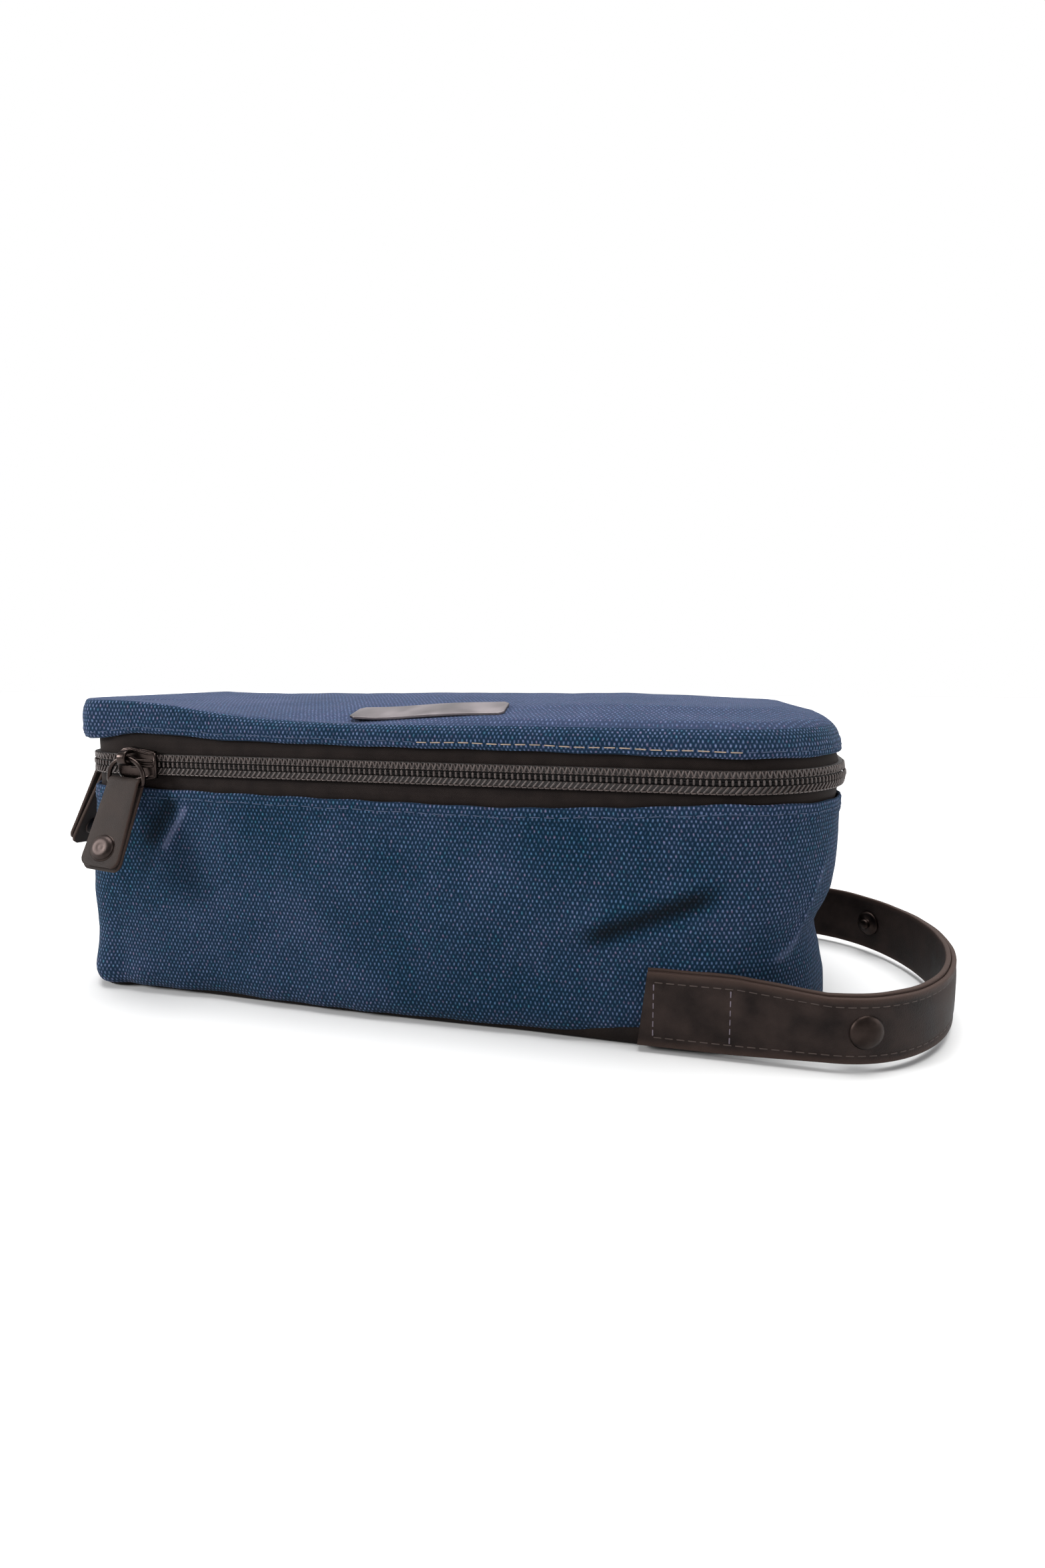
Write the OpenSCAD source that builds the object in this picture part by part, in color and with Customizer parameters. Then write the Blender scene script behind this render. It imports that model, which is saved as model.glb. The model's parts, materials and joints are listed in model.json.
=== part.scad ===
// Zip-top shaving kit bag: canvas body and lid on a leather base, a two-slider zip round
// three sides, leather zip pulls, a nameplate, and a two-ply leather loop handle.
// Millimetres. +X runs to the handle end, +Y to the hinged back, +Z up.
// The origin is the centre of the underside of the leather base.

/* [Bag] */
// Length of the canvas bag, without the handle
bag_l = 254; // [240:1:280]
// Depth from front face to back face
bag_d = 116; // [108:1:130]
// Corner radius in plan at the left end
r_left = 20; // [19:0.5:26]
// Corner radius in plan at the softer right end
r_right = 42; // [34:1:46]
// Thickness of the canvas
canvas_t = 1.4; // [1:0.1:1.8]
// Thickness of the lining and of the zip tape
lining_t = 0.8; // [0.6:0.1:1]
// Thickness of the leather base
base_t = 2.2; // [1.6:0.1:3]
// Thickness of the stiff board in the base
board_t = 1.6; // [1:0.1:2]

/* [Zip and lid] */
// Height of the zip's centre line, which is also the height of the hinge
zip_z = 80; // [76:0.5:88]
// Height of one row of the zip's coil
coil_h = 3.3; // [2.6:0.1:3.6]
// Half of the running gap between the two coil rows
coil_gap = 0.5; // [0.4:0.1:0.7]
// Bare tape between the coil and each canvas hem
tape_show = 3.6; // [3:0.1:5]
// Height of the upright part of the lid's band
band_h = 7.8; // [6:0.1:10]
// Rise of the lid's crown above its band
crown_h = 5.6; // [4:0.1:7]

/* [Zip pulls] */
// Length of a slider along the zip
slider_l = 14.5; // [11:0.5:15]
// Height of a slider across the zip
slider_h = 10.4; // [10.4:0.1:11]
// Distance from the zip's left straight end to the middle of the front slider
front_slider_in = 8.5; // [7.5:0.5:14]
// Distance of the left slider's middle in front of the bag's centre line
left_slider_out = 31.5; // [20:0.5:34]
// Sideways lean of the front pull, in degrees
front_lean = 5; // [0:1:20]
// Sideways lean of the left pull, in degrees
left_lean = 5; // [0:1:20]
// Thickness of the pull ring's wire
ring_wire = 1.5; // [1.2:0.1:1.6]
// Radius of the pull ring's arc
ring_r = 6.6; // [6.4:0.1:7]
// Length of the ring's straight legs, from its arc to its bar
ring_leg = 1.8; // [0:0.1:3]
// Length of a leather pull tab below the ring's bar
tab_l = 28.5; // [22:0.5:34]
// Width of a pull tab at its fold
tab_top_w = 11.2; // [9:0.1:11.2]
// Width of a pull tab at its lower end
tab_low_w = 14.2; // [11:0.1:15]
// Outward swing of a pull tab at rest, in degrees
tab_out = 24; // [6:1:40]

/* [Handle] */
// Width of the leather strap at its sewn ends
patch_w = 23.2; // [20:0.1:25]
// Width of the leather strap round the loop
loop_w = 19.6; // [17:0.1:22]
// Thickness of one of the strap's two plies
ply_t = 1.6; // [1.2:0.1:2]
// Height of the strap's sewn ends above the ground
patch_z = 1.5; // [0.5:0.1:2]
// Height of the loop's lower edge above the ground
loop_z = 2.3; // [1:0.1:4]
// Distance from the bag's right end to the outside of the loop
loop_out = 39; // [30:1:50]
// Distance from the middle of the bag to the sewn end of the strap
patch_x = 70; // [60:1:76]
// Distance from the middle of the bag to the strap's second row of stitches
stitch_x = 97; // [92:1:100]
// Distance from the middle of the bag to where the loop starts to curve
curve_x = 121; // [116:1:124]

/* [Hidden] */
$fn = 48;

CANVAS = [0.20, 0.30, 0.46];
LINING = [0.34, 0.30, 0.26];
LEATHER = [0.19, 0.14, 0.12];
ZIP = [0.22, 0.18, 0.16];
METAL = [0.30, 0.28, 0.27];
PLATE = [0.66, 0.60, 0.55];
BOARD = [0.45, 0.40, 0.34];

half_l = bag_l / 2;
half_d = bag_d / 2;
straight_l = -half_l + r_left;              // x where the left corners end
straight_r = half_l - r_right;              // x where the right corners begin
tape_in = canvas_t + lining_t;              // inset of the inner face of lining and tape
coil_out = 0.6;                             // how far the coil stands proud of the canvas
coil_stop = 3;                              // how far short of the back face the coil ends
hem_lower = zip_z - coil_gap - coil_h - tape_show - 1.4;
hem_upper = zip_z + coil_gap + coil_h + tape_show;
tape_sewn = 7;                              // tape held behind each canvas hem
tape_low = hem_lower - tape_sewn;
band_top = hem_upper + band_h;
lid_ceiling = hem_upper + 4;                // underside of the lid's lining
crown_base = band_top - 1.2;                // seam between the band and the top panel
crown_in = [0, 4, 18];                      // insets of the crown's three outlines
crown_up = [0, 0.36 * crown_h, crown_h];    // and their rises above the band
slope = atan((crown_up[2] - crown_up[1]) / (crown_in[2] - crown_in[1]));

plate_t = 1.3;                              // slider's outer plate
plate_out = 2.3;                            // its outer face in front of the canvas plane
inner_plate = [3.2, 4.1];                   // slider's inner plate, behind the tape
web_t = 0.6;                                // web that joins the plates between the rows
bridge_x = -2.4;                            // bridge's place along the slider, to the nose
bridge_up = 2.4;                            // and above the zip's centre line
ring_y = -4.4;                              // plane of the ring and tab, outward
fold_r = 1.8;                               // radius of the tab's fold round the bar
front_slider_x = straight_l + front_slider_in;

loop_a = half_l + loop_out - curve_x - ply_t;   // loop's half axis along X, mid thickness
loop_b = half_d + ply_t;                        // and along Y
hinge_gap = 0.6;                            // gap each side of a bend in the strap
loop_gap = 0.2;                             // gap at the loop's far end, each side
snap_t = [76.5, 49];                        // angles round the loop of the front and back snaps
snap_z = loop_z + loop_w / 2;               // height of the snaps
snap_seat = 0.35;                           // stands a flat disc off the strap's hollow side

// ---- shared shapes

// The bag's outline in plan, moved inwards by `inset`
module plan(inset = 0) {
    rl = r_left - inset;
    rr = r_right - inset;
    hy = half_d - inset;
    for (s = [-1, 1]) {
        translate([straight_l, s * (hy - rl)]) circle(rl);
        translate([straight_r, s * (hy - rr)]) circle(rr);
    }
    polygon([[-half_l + inset, rl - hy], [straight_l, -hy], [straight_r, -hy],
        [half_l - inset, rr - hy], [half_l - inset, hy - rr], [straight_r, hy],
        [straight_l, hy], [-half_l + inset, hy - rl]]);
}

module slab(inset, z, h) {
    translate([0, 0, z]) linear_extrude(h) plan(inset);
}

// Upright wall that follows the outline between two insets
module wall(outer, inner, z0, z1) {
    difference() {
        slab(outer, z0, z1 - z0);
        slab(inner, z0 - 1, z1 - z0 + 2);
    }
}

module box(x, y, z) {
    translate([x[0], y[0], z[0]]) cube([x[1] - x[0], y[1] - y[0], z[1] - z[0]]);
}

// Wall on the front and both ends only, open along the straight back
module three_sided_wall(outer, inner, z0, z1) {
    difference() {
        wall(outer, inner, z0, z1);
        box([straight_l, straight_r], [0, half_d + 5], [z0 - 1, z1 + 1]);
    }
}

module end_wall(side, outer, inner, z0, z1) {
    x = side < 0 ? [-half_l - 5, straight_l] : [straight_r, half_l + 5];
    intersection() {
        wall(outer, inner, z0, z1);
        box(x, [-half_d - 5, half_d + 5], [z0, z1]);
    }
}

// Crown of the lid as a solid, from its flat underside at z0
module crown(inset, lower, z0) {
    hull() {
        slab(inset, z0, band_top - lower - z0);
        slab(inset + crown_in[1], z0, band_top - lower - z0 + crown_up[1]);
        slab(crown_in[2], z0, band_top - lower - z0 + crown_up[2]);
    }
}

// ---- body

module base_panel() {
    color(LEATHER) slab(0, 0, base_t);
}

module base_board() {
    color(BOARD) slab(tape_in, base_t, board_t);
}

module side_panel(side) {
    y = side < 0 ? [-half_d, -half_d + canvas_t] : [half_d - canvas_t, half_d];
    top = side < 0 ? hem_lower : zip_z - coil_gap;
    color(CANVAS) box([straight_l, straight_r], y, [base_t, top]);
}

module front_panel() { side_panel(-1); }

module back_panel() { side_panel(1); }

module left_end_panel() {
    color(CANVAS) end_wall(-1, 0, canvas_t, base_t, hem_lower);
}

module right_end_panel() {
    color(CANVAS) end_wall(1, 0, canvas_t, base_t, hem_lower);
}

module body_lining() {
    color(LINING) {
        wall(canvas_t, tape_in, base_t, tape_low);
        slab(tape_in, base_t + board_t, lining_t);
    }
}

module lower_zip_tape() {
    color(ZIP) three_sided_wall(canvas_t, tape_in, tape_low, zip_z - coil_gap);
}

// One row of the coil. It stops short of the back face, so that it clears the hinge
module coil_row(z) {
    color(ZIP) difference() {
        three_sided_wall(-coil_out, canvas_t, z, z + coil_h);
        box([-half_l - 5, half_l + 5], [half_d - coil_stop, half_d + 5], [z - 1, z + coil_h + 1]);
    }
}

module lower_zip_coil() { coil_row(zip_z - coil_gap - coil_h); }

// Strip that carries the hinge fold inside the back, one half on the body, one on the lid
module hinge_strip(z) {
    color(LINING) box([straight_l, straight_r], [half_d - tape_in, half_d - canvas_t], z);
}

module body_hinge_strip() { hinge_strip([tape_low, zip_z - coil_gap]); }

// Leather tabs sewn over the two ends of the zip, at the back corners
module zip_end_tabs() {
    color(LEATHER) for (x = [straight_l, straight_r - 12])
        box([x, x + 12], [half_d, half_d + 1.2], [hem_lower - 2, zip_z - 1]);
}

// ---- lid

module lid_band() {
    color(CANVAS) {
        wall(0, canvas_t, hem_upper, crown_base);
        box([straight_l, straight_r], [half_d - canvas_t, half_d], [zip_z + coil_gap, hem_upper]);
    }
}

module lid_top_panel() {
    color(CANVAS) difference() {
        crown(0, 0, crown_base);
        crown(canvas_t, canvas_t, crown_base - 1);
    }
}

module lid_padding() {
    color(BOARD) crown(canvas_t, canvas_t, lid_ceiling + lining_t + 1);
}

module lid_board() {
    color(BOARD) slab(canvas_t, lid_ceiling + lining_t, 1);
}

module lid_lining() {
    color(LINING) slab(canvas_t, lid_ceiling, lining_t);
}

module upper_zip_tape() {
    color(ZIP) three_sided_wall(canvas_t, tape_in, zip_z + coil_gap, lid_ceiling);
}

module upper_zip_coil() { coil_row(zip_z + coil_gap); }

module lid_hinge_strip() { hinge_strip([zip_z + coil_gap, lid_ceiling]); }

// Plain metal plate with clipped corners on the front slope of the lid
module nameplate() {
    w = 48;
    h = 12.4;
    c = 1.6;
    middle = (crown_in[1] + crown_in[2]) / 2;
    rise = (crown_up[1] + crown_up[2]) / 2;
    askew = 3;
    color(PLATE) translate([-1, middle - half_d, band_top + rise + 0.02]) rotate([slope, 0, 0])
        rotate([0, 0, askew]) translate([-w / 2, -h / 2, 0]) linear_extrude(0.9)
            polygon([[c, 0], [w - c, 0], [w, c], [w, h - c], [w - c, h], [c, h], [0, h - c], [0, c]]);
}

// ---- zip sliders and pulls. Drawn at the origin: travel along X, outward along -Y

module at_front() {
    translate([front_slider_x, -half_d, zip_z]) children();
}

module at_left() {
    translate([-half_l, -left_slider_out, zip_z]) rotate([0, 0, -90]) mirror([1, 0, 0]) children();
}

module rounded_plate(l, h, r, y0, y1) {
    translate([0, y1, 0]) rotate([90, 0, 0]) linear_extrude(y1 - y0) union() {
        for (x = [-1, 1], z = [-1, 1]) translate([x * (l / 2 - r), z * (h / 2 - r)]) circle(r);
        square([l, h - 2 * r], center = true);
        square([l - 2 * r, h], center = true);
    }
}

// Two plates joined by a thin web between the coil rows, with a lip round the lower row
module slider_body() {
    color(METAL) union() {
        rounded_plate(slider_l, slider_h, 2, -plate_out, -plate_out + plate_t);
        rounded_plate(slider_l - 1, slider_h - 1, 1.6, inner_plate[0], inner_plate[1]);
        box([-slider_l / 2 + 1, -slider_l / 2 + 4], [-plate_out + plate_t, inner_plate[0]],
            [-web_t / 2, web_t / 2]);
        box([-slider_l / 2 + 2, slider_l / 2 - 2], [-plate_out + plate_t, canvas_t - 0.4],
            [-slider_h / 2, -slider_h / 2 + 0.7]);
    }
}

// Arch on the slider that the ring's wire runs through
module slider_bridge() {
    color(METAL) intersection() {
        translate([bridge_x - 1.5, ring_y, bridge_up]) rotate([0, 90, 0]) difference() {
            cylinder(r = 2.6, h = 3);
            translate([0, 0, -1]) cylinder(r = 1.2, h = 5);
        }
        box([-10, 10], [-10, -plate_out], [-6, 6]);
    }
}

// Places a shape about the centre of the ring's arc, leaning sideways by `lean`
module on_ring(lean) {
    translate([bridge_x, ring_y, bridge_up - ring_r]) rotate([0, lean, 0]) children();
}

// Places a shape about the ring's bar, swung outward as the tab rests
module on_bar(lean) {
    on_ring(lean) translate([0, 0, -ring_leg]) rotate([-tab_out, 0, 0]) children();
}

// D-shaped wire ring: a half-circle arc on two short legs, closed by a straight bar
module pull_ring(lean) {
    w = ring_wire / 2;
    color(METAL) on_ring(lean) union() {
        rotate([90, 0, 0]) rotate_extrude(angle = 180) translate([ring_r, 0]) circle(w);
        translate([-ring_r, 0, -ring_leg]) rotate([0, 90, 0]) cylinder(r = w, h = 2 * ring_r);
        for (s = [-1, 1]) translate([s * ring_r, 0, -ring_leg]) {
            sphere(w);
            cylinder(r = w, h = ring_leg);
        }
    }
}

// Leather strip folded round the ring's bar, with rounded lower corners
module pull_tab(lean) {
    r = 3.2;
    color(LEATHER) on_bar(lean) difference() {
        union() {
            translate([-tab_top_w / 2, 0, 0]) rotate([0, 90, 0]) cylinder(r = fold_r, h = tab_top_w);
            translate([0, fold_r, 0]) rotate([90, 0, 0]) linear_extrude(2 * fold_r) union() {
                for (s = [-1, 1]) translate([s * (tab_low_w / 2 - r), -tab_l + r]) circle(r);
                polygon([[-tab_top_w / 2, 0], [-tab_low_w / 2, -tab_l + r],
                    [tab_low_w / 2, -tab_l + r], [tab_top_w / 2, 0]]);
                translate([r - tab_low_w / 2, -tab_l]) square([tab_low_w - 2 * r, r]);
            }
        }
        translate([-10, 0, 0]) rotate([0, 90, 0]) cylinder(r = ring_wire / 2 + 0.06, h = 20);
    }
}

// Domed rivet head; `side` is -1 on the outer face of the tab and 1 on its inner face
module rivet_head(lean, side) {
    r = side < 0 ? 3.9 : 3.4;
    h = side < 0 ? 1.1 : 0.5;
    color(METAL) on_bar(lean) translate([0, side * fold_r, -tab_l + 6.2])
        rotate([side < 0 ? 90 : -90, 0, 0]) rotate_extrude()
            polygon([[0, 0], [r, 0], [r, 0.35 * h], [0.8 * r, 0.75 * h], [0.45 * r, h], [0, h]]);
}

module front_slider_body() { at_front() slider_body(); }
module front_slider_bridge() { at_front() slider_bridge(); }
module front_pull_ring() { at_front() pull_ring(front_lean); }
module front_pull_tab() { at_front() pull_tab(front_lean); }
module front_rivet_cap() { at_front() rivet_head(front_lean, -1); }
module front_rivet_back() { at_front() rivet_head(front_lean, 1); }
module left_slider_body() { at_left() slider_body(); }
module left_slider_bridge() { at_left() slider_bridge(); }
module left_pull_ring() { at_left() pull_ring(left_lean); }
module left_pull_tab() { at_left() pull_tab(left_lean); }
module left_rivet_cap() { at_left() rivet_head(left_lean, -1); }
module left_rivet_back() { at_left() rivet_head(left_lean, 1); }

// ---- handle. The front half is drawn, and the back half is its mirror image

module mirrored(side) {
    mirror([0, side < 0 ? 0 : 1, 0]) children();
}

// Straight run of one ply on the front face, between two widths; `layer` is 0 for the inner
// ply and 1 for the outer. `z0` and `z1` are its lower and upper edges at x0 and at x1
module straight_ply(side, layer, x0, x1, z0, z1) {
    color(LEATHER) mirrored(side) translate([0, -half_d - layer * ply_t, 0]) rotate([90, 0, 0])
        linear_extrude(ply_t) polygon([[x0, z0[0]], [x1, z1[0]], [x1, z1[1]], [x0, z0[1]]]);
}

module patch_ply(side, layer) {
    z = [patch_z, patch_z + patch_w];
    straight_ply(side, layer, patch_x, stitch_x - hinge_gap, z, z);
}

module arm_ply(side, layer) {
    straight_ply(side, layer, stitch_x + hinge_gap, curve_x - hinge_gap,
        [patch_z, patch_z + patch_w], [loop_z, loop_z + loop_w]);
}

// Point on the loop at angle t, moved outwards from the middle of its thickness
function loop_point(t, out) = [curve_x + (loop_a + out) * cos(t), -(loop_b + out) * sin(t)];

// Curved run of one ply, from the end of the arm to the middle of the loop
module loop_ply(side, layer) {
    out0 = (layer - 1) * ply_t;
    out1 = layer * ply_t;
    t0 = 90 - asin(hinge_gap / loop_a);
    t1 = asin(loop_gap / (loop_b - ply_t));
    steps = 16;
    turns = [for (i = [0:steps]) t0 + (t1 - t0) * i / steps];
    color(LEATHER) mirrored(side) translate([0, 0, loop_z]) linear_extrude(loop_w)
        polygon(concat([for (t = turns) loop_point(t, out0)],
            [for (i = [steps:-1:0]) loop_point(turns[i], out1)]));
}

// Places a shape on the strap at the snap: its Z axis points outwards
module at_snap(side, out) {
    t = side < 0 ? snap_t[0] : snap_t[1];
    p = loop_point(t, out);
    lean = atan2(cos(t) / loop_a, sin(t) / loop_b);
    mirrored(side) translate([p[0], p[1], snap_z]) rotate([0, 0, lean])
        rotate([90, 0, 0]) children();
}

module domed_cap(r, h) {
    color(METAL) rotate_extrude()
        polygon([[0, 0], [r, 0], [r, 0.4 * h], [0.85 * r, 0.75 * h], [0.5 * r, h], [0, h]]);
}

module front_patch_outer_ply() { patch_ply(-1, 1); }
module front_patch_inner_ply() { patch_ply(-1, 0); }
module back_patch_outer_ply() { patch_ply(1, 1); }
module back_patch_inner_ply() { patch_ply(1, 0); }
module front_arm_outer_ply() { arm_ply(-1, 1); }
module front_arm_inner_ply() { arm_ply(-1, 0); }
module back_arm_outer_ply() { arm_ply(1, 1); }
module back_arm_inner_ply() { arm_ply(1, 0); }
module front_loop_outer_ply() { loop_ply(-1, 1); }
module front_loop_inner_ply() { loop_ply(-1, 0); }
module back_loop_outer_ply() { loop_ply(1, 1); }
module back_loop_inner_ply() { loop_ply(1, 0); }

module front_snap_cap() { at_snap(-1, ply_t) domed_cap(5, 1.4); }
module back_snap_cap() { at_snap(1, ply_t) domed_cap(5, 1.4); }

// Ring-shaped socket inside the front of the loop
module snap_socket() {
    color(METAL) at_snap(-1, -ply_t - snap_seat) mirror([0, 0, 1]) difference() {
        cylinder(r = 4.6, h = 2.2);
        translate([0, 0, 0.6]) cylinder(r = 2.2, h = 3);
    }
}

// Stud that faces it inside the back of the loop
module snap_stud() {
    color(METAL) at_snap(1, -ply_t - snap_seat) mirror([0, 0, 1]) union() {
        cylinder(r = 4.6, h = 0.9);
        cylinder(r = 1.9, h = 3.1);
    }
}

base_panel();
base_board();
front_panel();
back_panel();
left_end_panel();
right_end_panel();
body_lining();
lower_zip_tape();
lower_zip_coil();
body_hinge_strip();
zip_end_tabs();
lid_band();
lid_top_panel();
lid_padding();
lid_board();
lid_lining();
upper_zip_tape();
upper_zip_coil();
lid_hinge_strip();
nameplate();
front_slider_body();
front_slider_bridge();
front_pull_ring();
front_pull_tab();
front_rivet_cap();
front_rivet_back();
left_slider_body();
left_slider_bridge();
left_pull_ring();
left_pull_tab();
left_rivet_cap();
left_rivet_back();
front_patch_outer_ply();
front_patch_inner_ply();
back_patch_outer_ply();
back_patch_inner_ply();
front_arm_outer_ply();
front_arm_inner_ply();
back_arm_outer_ply();
back_arm_inner_ply();
front_loop_outer_ply();
front_loop_inner_ply();
back_loop_outer_ply();
back_loop_inner_ply();
front_snap_cap();
snap_socket();
back_snap_cap();
snap_stud();
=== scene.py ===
import json
import math

import bmesh
import bpy
import numpy as np
from mathutils import Matrix, Vector


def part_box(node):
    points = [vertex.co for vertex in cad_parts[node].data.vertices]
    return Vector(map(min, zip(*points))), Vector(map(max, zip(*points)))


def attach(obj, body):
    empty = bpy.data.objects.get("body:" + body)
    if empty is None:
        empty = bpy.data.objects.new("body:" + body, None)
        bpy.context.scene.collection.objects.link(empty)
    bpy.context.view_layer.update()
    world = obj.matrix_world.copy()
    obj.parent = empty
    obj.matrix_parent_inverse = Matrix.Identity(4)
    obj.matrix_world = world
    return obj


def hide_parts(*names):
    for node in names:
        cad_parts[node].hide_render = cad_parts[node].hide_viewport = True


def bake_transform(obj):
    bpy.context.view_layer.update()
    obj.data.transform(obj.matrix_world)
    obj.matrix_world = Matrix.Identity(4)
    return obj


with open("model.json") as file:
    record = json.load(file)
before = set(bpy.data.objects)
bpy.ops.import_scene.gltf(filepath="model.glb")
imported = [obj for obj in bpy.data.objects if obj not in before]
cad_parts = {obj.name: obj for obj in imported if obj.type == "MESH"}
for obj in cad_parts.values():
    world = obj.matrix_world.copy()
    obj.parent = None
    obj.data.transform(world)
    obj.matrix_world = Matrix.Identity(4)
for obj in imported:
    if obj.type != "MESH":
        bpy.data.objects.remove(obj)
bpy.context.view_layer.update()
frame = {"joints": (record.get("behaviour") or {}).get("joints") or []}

# ---------------------------------------------------------------- sizes from the frame, in mm

MM = 0.001


def box_mm(node):
    lo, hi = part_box(node)
    return np.array(lo) / MM, np.array(hi) / MM


_, base_hi = box_mm("base_panel")
front_lo, front_hi = box_mm("front_panel")
HALF_L, HALF_D = base_hi[0], base_hi[1]
STRAIGHT_L, STRAIGHT_R = front_lo[0], front_hi[0]      # where the corner arcs begin
R_LEFT, R_RIGHT = HALF_L + STRAIGHT_L, HALF_L - STRAIGHT_R
HEM_LOW = front_hi[2]                                  # canvas hem under the zip
HEM_UP = box_mm("upper_zip_coil")[1][2] + 3.6          # canvas hem over the zip
ZIP_Z = (box_mm("lower_zip_coil")[1][2] + box_mm("upper_zip_coil")[0][2]) / 2
CEILING = box_mm("lid_lining")[0][2]
BASE_T = base_hi[2]
JOINTS = {j["name"]: j for j in frame["joints"]}


def joint_mm(name):
    return np.array(JOINTS[name]["pos_m"]) / MM


# ---------------------------------------------------------------- small maths


def smooth(a, b, x):
    t = np.clip((np.asarray(x, float) - a) / (b - a), 0, 1)
    return t * t * (3 - 2 * t)


def bump(x, centre, half):
    """A smooth hill of height 1 at centre that reaches 0 at centre +- half."""
    t = np.clip(np.abs(np.asarray(x, float) - centre) / half, 0, 1)
    return (1 - t * t) ** 2


def ripple(points, wave, seed, count=9):
    """Smooth noise of about -1 to 1 with a typical wavelength, from summed sines."""
    source = np.random.RandomState(seed)
    total = np.zeros(len(points))
    for _ in range(count):
        direction = source.normal(size=3)
        direction /= np.linalg.norm(direction)
        k = 2 * math.pi / (wave * source.uniform(0.7, 1.6))
        total += np.sin(points @ direction * k + source.uniform(0, 2 * math.pi))
    return total / math.sqrt(count) * 0.9


def unit(vectors):
    return vectors / np.linalg.norm(vectors, axis=1)[:, None]


def distance_to_line(x, z, a, b):
    """Distance from the segment a-b in the x, z plane, and how far along it, 0 to 1."""
    a, b = np.array(a, float), np.array(b, float)
    d = b - a
    t = np.clip(((x - a[0]) * d[0] + (z - a[1]) * d[1]) / (d @ d), 0, 1)
    side = (x - a[0]) * d[1] - (z - a[1]) * d[0]
    return np.hypot(x - a[0] - t * d[0], z - a[1] - t * d[1]) * np.sign(side), t


# ---------------------------------------------------------------- the bag's outline in plan

ARC_R = math.pi / 2 * R_RIGHT
ARC_L = math.pi / 2 * R_LEFT
END_R = 2 * (HALF_D - R_RIGHT)
END_L = 2 * (HALF_D - R_LEFT)
LONG = STRAIGHT_R - STRAIGHT_L
ARC_Y_R, ARC_Y_L = HALF_D - R_RIGHT, HALF_D - R_LEFT      # centres of the corner arcs
RUNS = [("arc", (STRAIGHT_R, ARC_Y_R), R_RIGHT, 90, 0), ("line", (HALF_L, END_R / 2), (0, -1), END_R),
        ("arc", (STRAIGHT_R, -ARC_Y_R), R_RIGHT, 0, -90), ("line", (STRAIGHT_R, -HALF_D), (-1, 0), LONG),
        ("arc", (STRAIGHT_L, -ARC_Y_L), R_LEFT, -90, -180), ("line", (-HALF_L, -END_L / 2), (0, 1), END_L),
        ("arc", (STRAIGHT_L, ARC_Y_L), R_LEFT, 180, 90), ("line", (STRAIGHT_L, HALF_D), (1, 0), LONG)]
LENGTHS = [ARC_R, END_R, ARC_R, LONG, ARC_L, END_L, ARC_L, LONG]
STARTS = np.concatenate([[0], np.cumsum(LENGTHS)])
AROUND = STARTS[-1]
ZIP_END = STARTS[7]                                    # the zip runs from 0 to here


def outline(s):
    """Points and outward normals of the outline at distances s along it."""
    s = np.mod(np.asarray(s, float), AROUND)
    p, n = np.zeros((len(s), 2)), np.zeros((len(s), 2))
    which = np.clip(np.searchsorted(STARTS, s, side="right") - 1, 0, 7)
    for i, run in enumerate(RUNS):
        m = which == i
        t = s[m] - STARTS[i]
        if run[0] == "line":
            p[m] = np.array(run[1]) + t[:, None] * np.array(run[2])
            n[m] = (-run[2][1], run[2][0])
        else:
            angle = np.radians(run[3] + (run[4] - run[3]) * t / LENGTHS[i])
            normal = np.stack([np.cos(angle), np.sin(angle)], 1)
            p[m] = np.array(run[1]) + run[2] * normal
            n[m] = normal
    return p, n


def stations(s0, s1, step):
    """Even distances along the outline from s0 to s1, about step apart."""
    return np.linspace(s0, s1, max(2, int(round((s1 - s0) / step)) + 1))


# ---------------------------------------------------------------- mesh building


def linked(name, data):
    obj = bpy.data.objects.new(name, data)
    bpy.context.scene.collection.objects.link(obj)
    return obj


def new_object(name, verts, faces, material=None, smooth_shade=True):
    mesh = bpy.data.meshes.new(name)
    mesh.from_pydata((np.asarray(verts) * MM).tolist(), [], [tuple(f) for f in faces])
    mesh.update()
    obj = linked(name, mesh)
    if smooth_shade:
        mesh.shade_smooth()
    if material:
        mesh.materials.append(material)
    return obj


def fix_to(obj, body, slot_name, *nodes):
    """Makes a piece ride a body and hides the CAD nodes that it stands for."""
    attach(obj, body)
    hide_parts(*nodes)
    return obj


def attribute(obj, name, values):
    values = np.asarray(values, np.float32)
    kind = "FLOAT_VECTOR" if values.ndim == 2 else "FLOAT"
    layer = obj.data.attributes.new(name, kind, "POINT")
    layer.data.foreach_set("vector" if values.ndim == 2 else "value", values.ravel())


def sharpen(obj, degrees=35):
    """Marks edges sharper than an angle, so that a flat face stays flat beside a round one."""
    bm = bmesh.new()
    bm.from_mesh(obj.data)
    limit = math.radians(degrees)
    for edge in bm.edges:
        if len(edge.link_faces) == 2 and edge.calc_face_angle(0) > limit:
            edge.smooth = False
    bm.to_mesh(obj.data)
    bm.free()


def grid(rows, cols, wrap_rows=False, wrap_cols=False):
    """Quads of a rows x cols grid of points, row by row."""
    r = np.arange(rows if wrap_rows else rows - 1)
    c = np.arange(cols if wrap_cols else cols - 1)
    R, C = np.meshgrid(r, c, indexing="ij")
    a, b = R * cols + C, R * cols + (C + 1) % cols
    d, e = ((R + 1) % rows) * cols + C, ((R + 1) % rows) * cols + (C + 1) % cols
    return np.stack([a, b, e, d], -1).reshape(-1, 4)


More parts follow.
